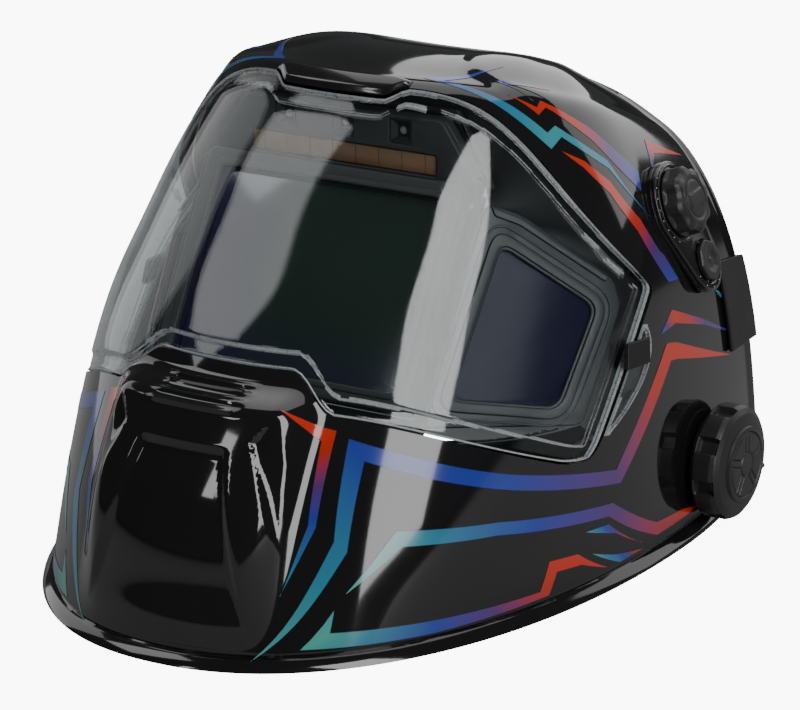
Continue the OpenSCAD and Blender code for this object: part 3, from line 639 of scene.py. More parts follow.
def solar_cells(name):
    """Amorphous solar strip: copper-brown cells with fine gaps."""
    m = Shader(name)
    x, _, z = m.axes(m.place())
    gap = (x / (11 * MM) + 0.5).fraction() < 0.035
    lines = (z / (0.55 * MM)).fraction() < 0.16
    sheen = m.noise(0.03, 3, (1, 1, 4))
    copper = m.blend(sheen, (0.17, 0.085, 0.036), (0.30, 0.165, 0.080))
    colour = m.blend(lines * 0.22 + gap * 0.75, copper, (0.03, 0.016, 0.010))
    return m.done(m.surface(Base_Color=colour, Roughness=0.32 + 0.1 * sheen, Metallic=0.25, Coat_Weight=0.5,
                            Normal=m.bump(gap, 0.05, 0.3)))


def metal(name, colour=(0.55, 0.55, 0.56), rough=0.28):
    """Zinc-plated steel with turning marks and dull patches."""
    m = Shader(name)
    brush, patch = m.noise(1.5, 3, (8, 1, 1)), m.noise(0.15, 3)
    base = m.blend(patch, tuple(c * 0.72 for c in colour), colour)
    return m.done(m.surface(Base_Color=base, Metallic=1.0, Roughness=rough + 0.16 * brush + 0.1 * patch,
                            Normal=m.bump(brush, 0.01, 0.4)))


def board(name):
    """Circuit board: solder mask over copper tracks, with bare pads."""
    m = Shader(name)
    at = m.place()
    tracks = m.node("ShaderNodeTexBrick", {"offset": 0.4}, {
        "Vector": at, "Scale": 260.0, "Mortar Size": 0.03, "Color1": (0, 0, 0, 1), "Color2": (0, 0, 0, 1),
        "Mortar": (1, 1, 1, 1)})
    pads = m.node("ShaderNodeTexVoronoi", inputs={"Vector": at, "Scale": 420.0}) < 0.16
    mask = m.blend(tracks, (0.006, 0.055, 0.022), (0.016, 0.13, 0.05))
    colour = m.blend(pads, mask, (0.62, 0.5, 0.25))
    return m.done(m.surface(Base_Color=colour, Roughness=0.4 - 0.12 * pads, Metallic=pads,
                            Normal=m.bump(tracks, 0.04, 0.5)))


def pad_cloth(name):
    """Knitted sweatband cloth: small diagonal ribs, fuzz and a little fading."""
    m = Shader(name)
    x, y, z = m.axes(m.place())
    turn = m.node("ShaderNodeMath", {"operation": "ARCTAN2"}, {0: x, 1: y}) * 78.0
    rise = z / MM
    rib = ((turn + rise) * 3.2).sine() * ((turn - rise) * 3.2).sine()
    fuzz, faded = m.noise(2.5, 4), m.noise(0.03, 3)
    colour = m.blend(rib * 0.5 + 0.5, (0.010, 0.010, 0.011), (0.035, 0.035, 0.037))
    colour = m.blend(faded * 0.35, colour, (0.07, 0.068, 0.066))
    return m.done(m.surface(Base_Color=colour, Roughness=0.82 + 0.1 * fuzz, Sheen_Weight=0.35,
                            Specular_IOR_Level=0.2, Normal=m.bump(rib * 0.5 + 0.5 * fuzz, 0.22, 0.8)))


def fibre(name):
    """Red vulcanised fibre washer."""
    m = Shader(name)
    strand = m.noise(1.2, 4, (1, 5, 1))
    return m.done(m.surface(Base_Color=m.blend(strand, (0.12, 0.010, 0.008), (0.30, 0.030, 0.020)),
                            Roughness=0.6 + 0.2 * strand, Normal=m.bump(strand, 0.05, 0.5)))


FINISHES = {
    "shell_gloss": gloss_shell,
    "stripe_film": stripe_film,
    "lens_clear": clear_sheet,
    "lens_edge": frosted_edge_painted_highlight,
    "inner_clear": lambda name: clear_sheet(name, (0.94, 0.97, 0.95), 0.01, 0.01),
    "trim_gloss": lambda name: moulded(name, (0.009, 0.009, 0.010), 0.16, 0.9, 0.006, 0.5, 0.1),
    "frame_satin": lambda name: moulded(name, (0.016, 0.017, 0.018), 0.36, 1.6, 0.02),
    "side_satin": lambda name: moulded(name, (0.022, 0.023, 0.026), 0.40, 1.8, 0.02, 0.0, 0.1),
    "cartridge_grain": lambda name: moulded(name, (0.034, 0.035, 0.036), 0.5, 1.8, 0.03, 0.0, 0.15),
    "recess_dark": lambda name: moulded(name, (0.006, 0.006, 0.006), 0.5, 1.6, 0.02, 0.0, 0.1),
    "knob_satin": lambda name: moulded(name, (0.017, 0.017, 0.018), 0.42, 1.5, 0.03, 0.0, 0.35),
    "knob_ink": lambda name: moulded(name, (0.42, 0.42, 0.42), 0.55, 2.0, 0.01, 0.0, 0.2),
    "nylon": lambda name: moulded(name, (0.020, 0.020, 0.022), 0.48, 1.0, 0.04, 0.0, 0.4),
    "acetal": lambda name: moulded(name, (0.66, 0.63, 0.56), 0.4, 1.0, 0.01, 0.0, 0.1),
    "cable_rubber": lambda name: moulded(name, (0.010, 0.010, 0.010), 0.55, 2.4, 0.03, 0.0, 0.2),
    "filter_coat": filter_coat,
    "side_coat": violet_glass,
    "solar_cells": solar_cells,
    "sensor_eye": lambda name: moulded(name, (0.30, 0.31, 0.34), 0.12, 0.8, 0.005, 0.8, 0.0),
    "steel": metal,
    "board": board,
    "pad_cloth": pad_cloth,
    "thread": lambda name: moulded(name, (0.11, 0.11, 0.11), 0.8, 3.0, 0.05, 0.0, 0.2),
    "fibre": fibre,
}
made_finishes = {}


def finish(name):
    """A finish, made once."""
    if name not in made_finishes:
        made_finishes[name] = FINISHES[name](name)
    return made_finishes[name]


# ---- Geometry Nodes -------------------------------------------------------------------------------
def row_tree():
    """Copies of an item in a row along a path, each turned to follow it."""
    tree = bpy.data.node_groups.new("row_on_path", "GeometryNodeTree")
    sockets = {}
    for label, kind in (("Path", "NodeSocketGeometry"), ("Count", "NodeSocketInt"),
                        ("Item", "NodeSocketObject"), ("Finish", "NodeSocketMaterial")):
        sockets[label] = tree.interface.new_socket(label, in_out="INPUT", socket_type=kind).identifier
    tree.interface.new_socket("Row", in_out="OUTPUT", socket_type="NodeSocketGeometry")
    start, points = tree.nodes.new("NodeGroupInput"), tree.nodes.new("GeometryNodeCurveToPoints")
    item, place = tree.nodes.new("GeometryNodeObjectInfo"), tree.nodes.new("GeometryNodeInstanceOnPoints")
    real, paint = tree.nodes.new("GeometryNodeRealizeInstances"), tree.nodes.new("GeometryNodeSetMaterial")
    end = tree.nodes.new("NodeGroupOutput")
    points.mode = "COUNT"
    for a, b in ((start.outputs["Path"], points.inputs["Curve"]),
                 (start.outputs["Count"], points.inputs["Count"]),
                 (start.outputs["Item"], item.inputs["Object"]),
                 (points.outputs["Points"], place.inputs["Points"]),
                 (points.outputs["Rotation"], place.inputs["Rotation"]),
                 (item.outputs["Geometry"], place.inputs["Instance"]),
                 (place.outputs["Instances"], real.inputs["Geometry"]),
                 (real.outputs["Geometry"], paint.inputs["Geometry"]),
                 (start.outputs["Finish"], paint.inputs["Material"]),
                 (paint.outputs["Geometry"], end.inputs["Row"])):
        tree.links.new(a, b)
    return tree, sockets


def row_of(name, item, path, count, material, cyclic=False):
    """The item repeated along a path of points in millimetres, as one plain mesh. The item's Z follows
    the path, and the item is used up."""
    if "row" not in made_finishes:
        made_finishes["row"] = row_tree()
    tree, sockets = made_finishes["row"]
    curve = bpy.data.curves.new(name, "CURVE")
    curve.dimensions, curve.twist_mode = "3D", "Z_UP"
    line = curve.splines.new("POLY")
    line.points.add(len(path) - 1)
    for k, p in enumerate(path):
        line.points[k].co = (*(Vector(p) * MM), 1)
    line.use_cyclic_u = cyclic
    holder = bpy.data.objects.new(name + "_path", curve)
    bpy.context.scene.collection.objects.link(holder)
    row = holder.modifiers.new("row", "NODES")
    row.node_group = tree
    row[sockets["Count"]] = count
    row[sockets["Item"]] = item
    row[sockets["Finish"]] = finish(material)
    bpy.context.view_layer.update()
    mesh = bpy.data.meshes.new_from_object(holder.evaluated_get(bpy.context.evaluated_depsgraph_get()))
    bpy.data.objects.remove(holder)
    bpy.data.objects.remove(item)
    mark_sharp(mesh, 34)
    piece = bpy.data.objects.new(name, mesh)
    bpy.context.scene.collection.objects.link(piece)
    return piece


def block(name, x, y, z, material, edge=0.25):
    """A small block with rounded edges, centred on the origin."""
    bm = bmesh.new()
    bmesh.ops.create_cube(bm, size=1, matrix=Matrix.Diagonal((x * MM, y * MM, z * MM, 1)))
    bmesh.ops.bevel(bm, geom=bm.edges[:], offset=edge * MM, segments=2, affect="EDGES", profile=0.5)
    mesh = bpy.data.meshes.new(name)
    bm.to_mesh(mesh)
    bm.free()
    mark_sharp(mesh, 34)
    mesh.materials.append(finish(material))
    piece = bpy.data.objects.new(name, mesh)
    bpy.context.scene.collection.objects.link(piece)
    return piece


# ---- Sizes and colours that a user would change ---------------------------------------------------
class HelmetSizes(bpy.types.PropertyGroup):
    """Sizes of the visible pieces, in millimetres."""

    lens_border: bpy.props.FloatProperty(name="Lens border", description="Width of the lens's stepped border",
                                         default=7.0, min=3, max=12)
    stripe_lift: bpy.props.FloatProperty(name="Stripe lift", description="Thickness of the printed film",
                                         default=0.14, min=0.1, max=0.3)
    knob_notches: bpy.props.IntProperty(name="Knob notches", description="Notches round a tension knob",
                                        default=8, min=5, max=12)
    stitch_pitch: bpy.props.FloatProperty(name="Stitch pitch", description="Distance between stitches",
                                          default=4.0, min=2, max=8)


class StudioSettings(bpy.types.PropertyGroup):
    """The floor, lights and camera."""

    floor_tone: bpy.props.FloatVectorProperty(name="Floor", description="Colour of the floor",
                                              subtype="COLOR",
                                              default=(0.86, 0.86, 0.86), min=0, max=1)
    floor_glow: bpy.props.FloatProperty(name="Floor glow",
                                        description="How much whiter the floor looks to the camera",
                                        default=9.0, min=0, max=20)
    floor_dim: bpy.props.FloatProperty(name="Floor dimming",
                                       description="How much darker the floor is in reflections",
                                       default=0.55, min=0, max=1)
    key_power: bpy.props.FloatProperty(name="Key", description="Power of the key softbox", default=27,
                                       unit="POWER")
    azimuth: bpy.props.FloatProperty(name="Azimuth",
                                     description="How far the camera stands to the wearer's left",
                                     default=math.radians(31.42), subtype="ANGLE")
    elevation: bpy.props.FloatProperty(name="Elevation", description="How far the camera looks down",
                                       default=math.radians(18.86), subtype="ANGLE")


class HelmetOperator:
    """Builds one piece or group of like pieces."""

    bl_options = {"REGISTER", "UNDO"}

    def execute(self, context):
        self.build(context.scene.helmet_sizes)
        return {"FINISHED"}


# ---- Shell ----------------------------------------------------------------------------------------
RIM_S, CROWN_S = 0.5, 0.62


def shell_grid():
    """(s, v) over the whole shell, in three bands of columns and of rows round the window, and the
    window's block of cells."""
    win, side = 84, 28
    low_rows = np.concatenate([np.linspace(0, 0.15, 14), np.linspace(0.162, 0.77, 42),
                               np.linspace(0.774, 1, 54)])
    win_rows, top_rows = 36, 40
    m = np.arange(-(win + side), win + side + 1)
    half = np.concatenate([np.linspace(0, 0.36, 56), np.linspace(0.375, 1, 29)])
    t = half[np.minimum(np.abs(m), win)][None, :]
    e = (np.maximum(0, np.abs(m) - win) / side)[None, :]
    e = mix(e, 1 - (1 - e) ** 1.6, 0.6)
    a = np.concatenate([low_rows, np.ones(win_rows + top_rows)])[:, None]
    b = np.concatenate([np.zeros(len(low_rows) - 1), np.linspace(0, 1, win_rows + 1),
                        np.ones(top_rows)])[:, None]
    c = np.concatenate([np.zeros(len(low_rows) + win_rows), np.linspace(0, 1, top_rows + 1)[1:]])[:, None]
    low_s, high_s = LOW_CORNER[0] * t, HIGH_CORNER[0] * t
    low_v, high_v = low_edge(low_s), high_edge(high_s)
    vb = mix(LOW_CORNER[1], HIGH_CORNER[1], b)
    in_low, in_high = b == 0, b == 1
    s_in = np.where(in_low, mix(RIM_S * t, low_s, a), np.where(in_high, mix(high_s, CROWN_S * t, c),
                                                               mix(low_s, high_s, b)))
    v_in = np.where(in_low, mix(0, low_v, a), np.where(in_high, mix(high_v, RINGS, c), mix(low_v, high_v, b)))
    s_edge = np.where(in_low, mix(RIM_S, LOW_CORNER[0], a),
                      np.where(in_high, mix(HIGH_CORNER[0], CROWN_S, c), side_edge(vb)))
    v_edge = np.where(in_low, mix(0, LOW_CORNER[1], a), np.where(in_high, mix(HIGH_CORNER[1], RINGS, c), vb))
    v_rear = np.where(in_low, LOW_CORNER[1] * a, np.where(in_high, mix(HIGH_CORNER[1], RINGS, c), vb))
    inside = (np.abs(m) < win)[None, :] | ((np.abs(m) == win)[None, :] & (in_low | in_high) & (e == 0))
    s = np.where(inside, s_in, mix(s_edge, 1, e))
    v = np.where(inside, v_in, mix(v_edge, v_rear, e))
    first = len(low_rows) - 1
    return np.sign(m)[None, :] * s, v, (first, first + win_rows, side, side + 2 * win)


class BuildShell(HelmetOperator, bpy.types.Operator):
    """Moulded shell with its rolled rim, chin panel, vent ridges, flutes and crown step"""

    bl_idname = "helmet.shell"
    bl_label = "Shell"

    def build(self, sizes):
        s, v, window = shell_grid()
        shell = sheet("shell_skin", s, v, 0.0, -WALL, "shell_gloss", window)
        keep(shell, "shell", "shell", "shell")
        soften = shell.modifiers.new("edges", "BEVEL")
        soften.width, soften.segments, soften.limit_method = 0.5 * MM, 2, "ANGLE"
        soften.angle_limit = math.radians(62)


# Each stripe is a list of sections across it: the two edge points as (s, v), and how far its colour
# has gone from teal (0) through blue (0.5) to red (1). A tip has one point.
STRIPES = {
    "cheek_hook": [((0.09, 2.69), 1.0), ((0.156, 2.58), (0.142, 2.50), 0.95),
                   ((0.158, 1.84), (0.149, 1.86), 0.45),
                   ((0.130, 1.23), 0.2)],
    "cheek_band": [((0.110, 0.22), 0.0), ((0.180, 1.72), (0.196, 1.62), 0.28),
                   ((0.172, 2.52), (0.196, 2.34), 0.5),
                   ((0.235, 2.38), (0.238, 2.24), 0.5), ((0.362, 2.06), (0.368, 1.91), 0.5),
                   ((0.498, 1.75), (0.505, 1.58), 0.68), ((0.582, 2.82), (0.588, 2.60), 0.95),
                   ((0.89, 2.28), 1.0)],
    "teal_band": [((0.200, 1.22), 0.0), ((0.245, 1.76), (0.254, 1.61), 0.12),
                  ((0.355, 1.65), (0.356, 1.52), 0.42),
                  ((0.495, 1.40), (0.490, 1.26), 0.66), ((0.560, 0.80), (0.562, 0.55), 0.8),
                  ((0.70, 0.55), 1.0)],
    "rim_band": [((0.190, 1.06), 0.05), ((0.189, 0.72), (0.160, 0.44), 0.0),
                 ((0.292, 0.66), (0.295, 0.40), 0.48),
                 ((0.410, 0.58), (0.421, 0.44), 0.84), ((0.418, 1.02), (0.428, 0.82), 0.95),
                 ((0.452, 0.96), (0.458, 0.76), 1.0), ((0.495, 0.44), 1.0)],
    "upper_sliver": [((0.460, 1.20), 0.05), ((0.490, 1.17), (0.500, 1.00), 0.6), ((0.538, 0.60), 1.0)],
    "lower_sliver": [((0.468, 0.88), 0.05), ((0.500, 0.66), (0.509, 0.44), 0.35), ((0.540, 0.46), 1.0)],
    "brow_fork": [((0.30, 7.60), 0.5), ((0.184, 6.74), (0.143, 6.78), 0.48),
                  ((0.384, 5.72), (0.389, 5.53), 0.14),
                  ((0.402, 5.82), (0.413, 5.68), 0.14), ((0.510, 5.44), (0.510, 5.34), 0.25),
                  ((0.585, 4.72), 0.4)],
    "crown_arrow": [((0.362, 6.22), 0.12), ((0.312, 6.72), (0.288, 6.95), 0.52), ((0.42, 6.85), 0.95)],
    "crown_band": [((0.312, 6.32), 0.92), ((0.368, 6.08), (0.370, 5.95), 0.92),
                   ((0.378, 6.24), (0.388, 6.10), 1.0),
                   ((0.488, 5.84), (0.486, 5.66), 0.78), ((0.592, 5.32), (0.582, 5.06), 0.5)],
    "temple_curve": [((0.408, 5.52), 1.0), ((0.455, 5.42), (0.452, 5.34), 0.98),
                     ((0.505, 5.20), (0.500, 5.06), 0.95),
                     ((0.560, 4.70), (0.549, 4.54), 0.85), ((0.592, 4.20), (0.578, 4.04), 0.62),
                     ((0.655, 3.66), (0.600, 3.66), 0.5)],
    "side_arrow": [((0.572, 2.95), 0.45), ((0.598, 3.22), (0.606, 3.02), 0.95),
                   ((0.75, 2.92), (0.75, 2.84), 0.7),
                   ((0.93, 2.50), 0.45)],
    "rear_arrow": [((0.672, 5.30), 0.45), ((0.715, 5.80), (0.735, 5.58), 0.9), ((0.93, 5.64), 1.0)],
    "rear_fleck": [((0.842, 3.26), 0.05), ((0.862, 3.22), (0.868, 3.10), 0.2), ((0.905, 3.00), 0.35)],
}
TIP = 0.0008


class BuildStripes(HelmetOperator, bpy.types.Operator):
    """Printed stripes on both sides of the shell"""

    bl_idname = "helmet.stripes"
    bl_label = "Stripes"

    def ribbon(self, sections, lift, side):
        """A film between the edge points of the sections, fine enough to follow the shell."""
        edges = []
        for section in sections:
            a, b, fade = section if len(section) == 3 else (
                section[0], (section[0][0] + TIP, section[0][1]), section[1])
            edges.append((np.array(a), np.array(b), fade))
        rows = [edges[0]]
        for (a0, b0, f0), (a1, b1, f1) in zip(edges, edges[1:]):
            length = np.linalg.norm(skin(*a1) - skin(*a0))
            n = max(2, int(length / 2.5))
            rows += [(mix(a0, a1, k / n), mix(b0, b1, k / n), mix(f0, f1, k / n)) for k in range(1, n + 1)]
        across = np.linspace(0, 1, 5)
        s = np.array([[mix(a[0], b[0], t) for t in across] for a, b, _ in rows]) * side
        v = np.array([[mix(a[1], b[1], t) for t in across] for a, b, _ in rows])
        tint = np.array([[(f, t) for t in across] for _, _, f in rows]).reshape(-1, 2)
        points = np.concatenate([skin(s, v, lift).reshape(-1, 3), skin(s, v, 0.03).reshape(-1, 3)])
        return s.shape, points, np.concatenate([tint, tint])

    def build(self, sizes):
        for side, word in ((1, "left"), (-1, "right")):
            films = []
            for name, sections in STRIPES.items():
                (rows, cols), points, tint = self.ribbon(sections, sizes.stripe_lift, side)
                films.append(self.film(name, rows, cols, points, tint))
            joined = join("stripes_" + word, films)
            keep(joined, "shell", "shell")

    @staticmethod
    def film(name, rows, cols, points, tint):
        count = rows * cols
        faces = []
        for j in range(rows - 1):
            for i in range(cols - 1):
                a, b, c, d = j * cols + i, j * cols + i + 1, (j + 1) * cols + i + 1, (j + 1) * cols + i
                faces += [(a, b, c, d), (a + count, d + count, c + count, b + count)]
        border = [j * cols for j in range(rows)] + [(rows - 1) * cols + i for i in range(1, cols)]
        border += [j * cols + cols - 1 for j in range(rows - 2, -1, -1)] + list(range(cols - 2, 0, -1))
        for k, here in enumerate(border):
            after = border[(k + 1) % len(border)]
            faces.append((here, after, after + count, here + count))
        piece = new_piece(name, points, faces, "stripe_film", 60, tint, "tint")
        bm = bmesh.new()
        bm.from_mesh(piece.data)
        bmesh.ops.recalc_face_normals(bm, faces=bm.faces)
        bm.to_mesh(piece.data)
        bm.free()
        return piece


# ---- Lens -----------------------------------------------------------------------------------------
def lens_top(s):
    m = np.abs(s)
    return np.where(m < TRIM_S, LENS_TOP + (TRIM_TOP - LENS_TOP) * ease((m - 0.085) / 0.045), high_edge(m))


def packed_ends(count, band, share):
    """Steps from 0 to 1 that are finer in the last share of the way."""
    return np.concatenate([np.linspace(0, 1 - share, count - band, endpoint=False),
                           np.linspace(1 - share, 1, band + 1)])


class BuildLens(HelmetOperator, bpy.types.Operator):
    """Clear cover lens with a stepped border and a latch tab on each side"""

    bl_idname = "helmet.lens"
    bl_label = "Cover lens"

    def build(self, sizes):
        gap = 0.004
        half = packed_ends(60, 20, 0.08)
        m = np.concatenate([-half[:0:-1], half])
        t = np.abs(m)[None, :]
        rise = packed_ends(34, 16, 0.15)
        b = np.concatenate([(1 - rise[::-1]) / 2, 0.5 + rise[1:] / 2])[:, None]
        low_s, high_s = (LOW_CORNER[0] - gap) * t, (HIGH_CORNER[0] - gap) * t
        low_v, high_v = low_edge(low_s) + 5 * gap, lens_top(high_s) - 5 * gap
        vb = mix(LOW_CORNER[1] + 5 * gap, HIGH_CORNER[1] - 5 * gap, b)
        bulge = side_edge(vb) - gap - mix(LOW_CORNER[0] - gap, HIGH_CORNER[0] - gap, b)
        s = mix(low_s, high_s, b) + bulge * t**6
        v = mix(low_v, high_v, b)
        points = skin(s, v)
        reach = edge_distance(points)
        border = sizes.lens_border
        step = -0.9 * (1 - ease((reach - border) / 1.4)) + 0.7 * (1 - ease((reach - 0.2) / 1.0))
        s = np.sign(m)[None, :] * s
        lens = sheet("cover_lens_clear", s, v, step - 0.1, step - 2.0, "lens_clear", sharp=50)
        self.frost_with_painted_highlight(lens, reach, border)
        self.even_out(lens, out_dir(s, v))
        keep(lens, "shell", "clear_lens", "cover_lens")
        for side, word in ((1, "left"), (-1, "right")):
            self.tab(side, word)

    @staticmethod
    def frost_with_painted_highlight(lens, reach, border):
        """The lens's cut edge takes a pale frosted finish that is also a painted highlight, and the root of
        its border takes the same finish as a painted highlight line.
        """
        lens.data.materials.append(finish("lens_edge"))
        near = np.concatenate([reach.ravel()] * 2)
        for face in lens.data.polygons:
            at = near[list(face.vertices)].mean()
            # Faces at the cut edge and at the border's root take the pale finish: painted highlight lines.
            if at < 0.9 or abs(at - border - 0.5) < 0.55:
                face.material_index = 1

    @staticmethod
    def even_out(lens, normals):
        """Leans the lens's shading towards a smoother surface, so that highlights run straight."""
        smooth = normals
        for _ in range(60):
            pad = np.pad(smooth, ((1, 1), (1, 1), (0, 0)), mode="reflect", reflect_type="odd")
            smooth = unit((pad[:-2, 1:-1] + pad[2:, 1:-1] + pad[1:-1, :-2] + pad[1:-1, 2:] + 2 * smooth) / 6)
        lean = (smooth - normals).reshape(-1, 3)
        lean = np.concatenate([lean, -lean])
        mesh = lens.data
        corners = np.empty(len(mesh.loops) * 3)
        mesh.corner_normals.foreach_get("vector", corners)
        index = np.empty(len(mesh.loops), dtype=int)
        mesh.loops.foreach_get("vertex_index", index)
        mesh.normals_split_custom_set(unit(corners.reshape(-1, 3) + lean[index]).tolist())

    def tab(self, side, word):
        """A clear crescent beside the lens that carries the latch."""
        low, high = 2.14, 3.16
        rise = np.linspace(0, 1, 40)[:, None]
        out = packed_ends(10, 5, 0.25)[None, :]
        v = mix(low, high, rise) + 0 * out
        inner = side_edge(v) - 0.001
        s = inner + 0.031 * np.sin(math.pi * np.clip(rise, 0.02, 0.98)) ** 0.8 * out
        off = 0.5 + 0.7 * ease((out - 0.7) / 0.12) + 0 * rise
        clip = np.exp(-(((v - 2.95) / 0.05) ** 2)) + np.exp(-(((v - 2.42) / 0.05) ** 2))
        off = off + 0.9 * clip * ease((out - 0.15) / 0.1) * (1 - ease((out - 0.6) / 0.1))
        tab = sheet("lens_tab_" + word, side * s, v, off + 0.9, 0.35 + 0 * off, "lens_clear", sharp=50)
        if side < 0:
            tab.data.flip_normals()
        self.frost_with_painted_highlight(tab, edge_distance(skin(s, v)), 99)
        keep(tab, "shell", "clear_lens")


def edge_distance(points):
    """For each point of a grid, its distance in millimetres to the nearest border of the grid."""
    best = np.full(points.shape[:2], 1e9)
    for axis in (0, 1):
        gaps = np.linalg.norm(np.diff(points, axis=axis), axis=-1)
        zero = np.zeros_like(np.take(gaps, [0], axis=axis))
        run = np.concatenate([zero, np.cumsum(gaps, axis=axis)], axis=axis)
        total = np.take(run, [-1], axis=axis)
        best = np.minimum(best, np.minimum(run, total - run))
    return best


class BuildTrim(HelmetOperator, bpy.types.Operator):
    """Brow trim over the lens, the lens latches and the edge clip"""

    bl_idname = "helmet.trim"
    bl_label = "Trim and latches"

    def build(self, sizes):
        m = np.linspace(-1, 1, 61)[None, :]
        b = np.linspace(0, 1, 25)[:, None]
        top = 6.62 - 0.12 * ease((np.abs(m) - 0.75) / 0.25)
        s = 0.128 * m * mix(0.98, 1.0, b)
        low = LENS_TOP + 0.03 + (TRIM_TOP - LENS_TOP) * ease((np.abs(s) - 0.082) / 0.045)
        v = mix(low, top, b)
        edge = edge_distance(skin(s, v))
        lift = 0.35 + 1.35 * ease(edge / 2.6) - 0.9 * ease((edge - 7) / 3) * ease((0.09 - np.abs(s)) / 0.03)
        trim = sheet("brow_trim_gloss", s, v, lift, 0.15, "trim_gloss", sharp=50)
        keep(trim, "shell", "gloss_black", "brow_trim")
        for word in ("left", "right"):
            latch = node_copy("lens_latch_" + word, "lens_latch_slider_" + word, "recess_dark", 0.5, 3)
            keep(latch, "latch_" + word, "gloss_black", "lens_latch_" + word)
        clip = node_copy("edge_clip", "edge_clip_hook", "recess_dark", 0.8, 3)
        keep(clip, "shell", "frame_black", "edge_clip")


# ---- Filter ---------------------------------------------------------------------------------------
VIEW_W, VIEW_H, FILTER_W, FILTER_T = 110, 84, 122, 10
HOUSING_H = VIEW_H + 12
FASCIA_H, FASCIA_LOW, FASCIA_HIGH = 25, 126, 94
SENSOR_SPAN = 55


def fascia_outline(grow=0.0):
    low, high = FASCIA_LOW / 2 + grow, FASCIA_HIGH / 2 + grow
    return [(-low, -grow), (low, -grow), (high, FASCIA_H + grow), (-high, FASCIA_H + grow)]


class BuildFilter(HelmetOperator, bpy.types.Operator):
    """Filter cartridge: bezel, fascia with sensor wells and solar strip, coated glass and its frame"""

    bl_idname = "helmet.filter"
    bl_label = "Filter"

    def build(self, sizes):
        bezel = plate("bezel",
                      rounded(box_outline(-FILTER_W / 2, -HOUSING_H / 2, FILTER_W / 2, HOUSING_H / 2), 4),
                      [rounded(box_outline(-VIEW_W / 2, -VIEW_H / 2, VIEW_W / 2, VIEW_H / 2), 3)],
                      FILTER_T, FILTER, "cartridge_grain", 0.8, -FILTER_T / 2)
        wells = [rounded(box_outline(x - 5.2, 12.8, x + 5.2, 23.2), 0.6)
                 for x in (-SENSOR_SPAN / 2, 0, SENSOR_SPAN / 2)]
        solar = rounded(box_outline(-44.4, 1.1, 44.4, 10.4), 0.6)
        fascia = plate("fascia", rounded(fascia_outline(), 3), wells + [solar], 3.0, FASCIA,
                       "cartridge_grain", 0.5)
        back = plate("fascia_back", rounded(fascia_outline(-0.6), 3), [], 5.6, FASCIA, "cartridge_grain",
                     0.5, 4.2)
        ledge = plate("ledge", rounded(box_outline(-62.5, -5.6, 62.5, -0.4), 1.5), [], 7.5, FASCIA,
                      "recess_dark", 0.8, 0.6)
        lip = plate("lip", rounded(box_outline(-VIEW_W / 2 - 1.6, -VIEW_H / 2 - 1.6, VIEW_W / 2 + 1.6,
                                               VIEW_H / 2 + 1.6), 4),
                    [rounded(box_outline(-VIEW_W / 2 + 1.2, -VIEW_H / 2 + 1.2, VIEW_W / 2 - 1.2,
                                         VIEW_H / 2 - 1.2), 3)],
                    1.6, FILTER, "recess_dark", 0.5, -FILTER_T / 2 - 0.7)
        housing = join("filter_cartridge", [bezel, fascia, back, ledge, lip])
        keep(housing, "shell", "cartridge_grey", "filter_housing")
        glass = plate("filter_glass_coated", box_outline(-VIEW_W / 2 - 2.8, -VIEW_H / 2 - 2.6,
                                                         VIEW_W / 2 + 2.8, VIEW_H / 2 + 2.6),
                      [], 3.0, FILTER, "filter_coat", 0.3, -1.5)
        keep(glass, "shell", "filter_glass", "filter_glass")
        strip = plate("solar_strip_cells", rounded(box_outline(-43.8, 1.7, 43.8, 9.8), 0.4), [], 0.9, FASCIA,
                      "solar_cells", 0.15, 0.9)
        keep(strip, "shell", "solar", "solar_strip")
        self.sensors()
        inner = node_copy("inner_cover_lens", "inner_cover_lens_sheet", "inner_clear", 0.2)
        keep(inner, "shell", "clear_lens", "inner_cover_lens")
        circuit = node_copy("filter_circuit", "filter_circuit_board", "board", 0.1)
        keep(circuit, "shell", "circuit", "filter_circuit")
        screws = node_copy("filter_screws", "filter_screw_heads", "steel", 0.5, 3)
        keep(screws, "shell", "steel", "filter_screws")
        inner = node_copy("inner_frame", "filter_surround", "frame_satin", 0.6)
        keep(inner, "shell", "frame_black", "inner_frame")

    def sensors(self):
        """Three square wells, each with a funnel and a light sensor behind a round window."""
        wells, eyes = [], []
        for x in (-SENSOR_SPAN / 2, 0, SENSOR_SPAN / 2):
            place = FASCIA @ Matrix.Translation((x, 0, 18)) @ Matrix.Rotation(math.radians(-90), 4, "X")
            square = place @ Matrix.Rotation(math.radians(45), 4, "Z")
            wells.append(turned("well", [(0, 3.2), (3.2, 3.2), (3.2, 2.6), (6.6, 0.7), (6.6, 0.2),
                                         (7.3, 0.2), (7.3, 4.4), (0, 4.4)],
                                square, "recess_dark", segments=4, sharp=20))
            eyes.append(turned("eye", [(0, 2.3), (0.9, 2.35), (1.6, 2.7), (1.8, 3.2), (1.8, 4.0), (0, 4.0)],
                               place, "sensor_eye", segments=24))
        keep(join("sensor_wells", wells), "shell", "cartridge_grey")
        keep(join("sensor_eyes", eyes), "shell", "sensor", "light_sensors")


SIDE_PANEL = [(16, 40), (30, 34), (66, 4), (68, -8), (44, -54), (-26, -46)]
SIDE_HOLE = [(20, 22), (56, -7), (34, -45), (-10, -36)]
SIDE_T = 3


def grown(points, by):
    """The outline moved outwards by a distance."""
    centre = Vector((sum(p[0] for p in points), sum(p[1] for p in points))) / len(points)
    out = []
    for k in range(len(points)):
        before, here, after = (Vector(points[j % len(points)]) for j in (k - 1, k, k + 1))
        into, away = (here - before).normalized(), (after - here).normalized()
        n1, n2 = Vector((into.y, -into.x)), Vector((away.y, -away.x))
        if n1.dot(here - centre) < 0:
            n1, n2 = -n1, -n2
        out.append(tuple(here + (n1 + n2) * (by / (1 + n1.dot(n2)))))
    return out


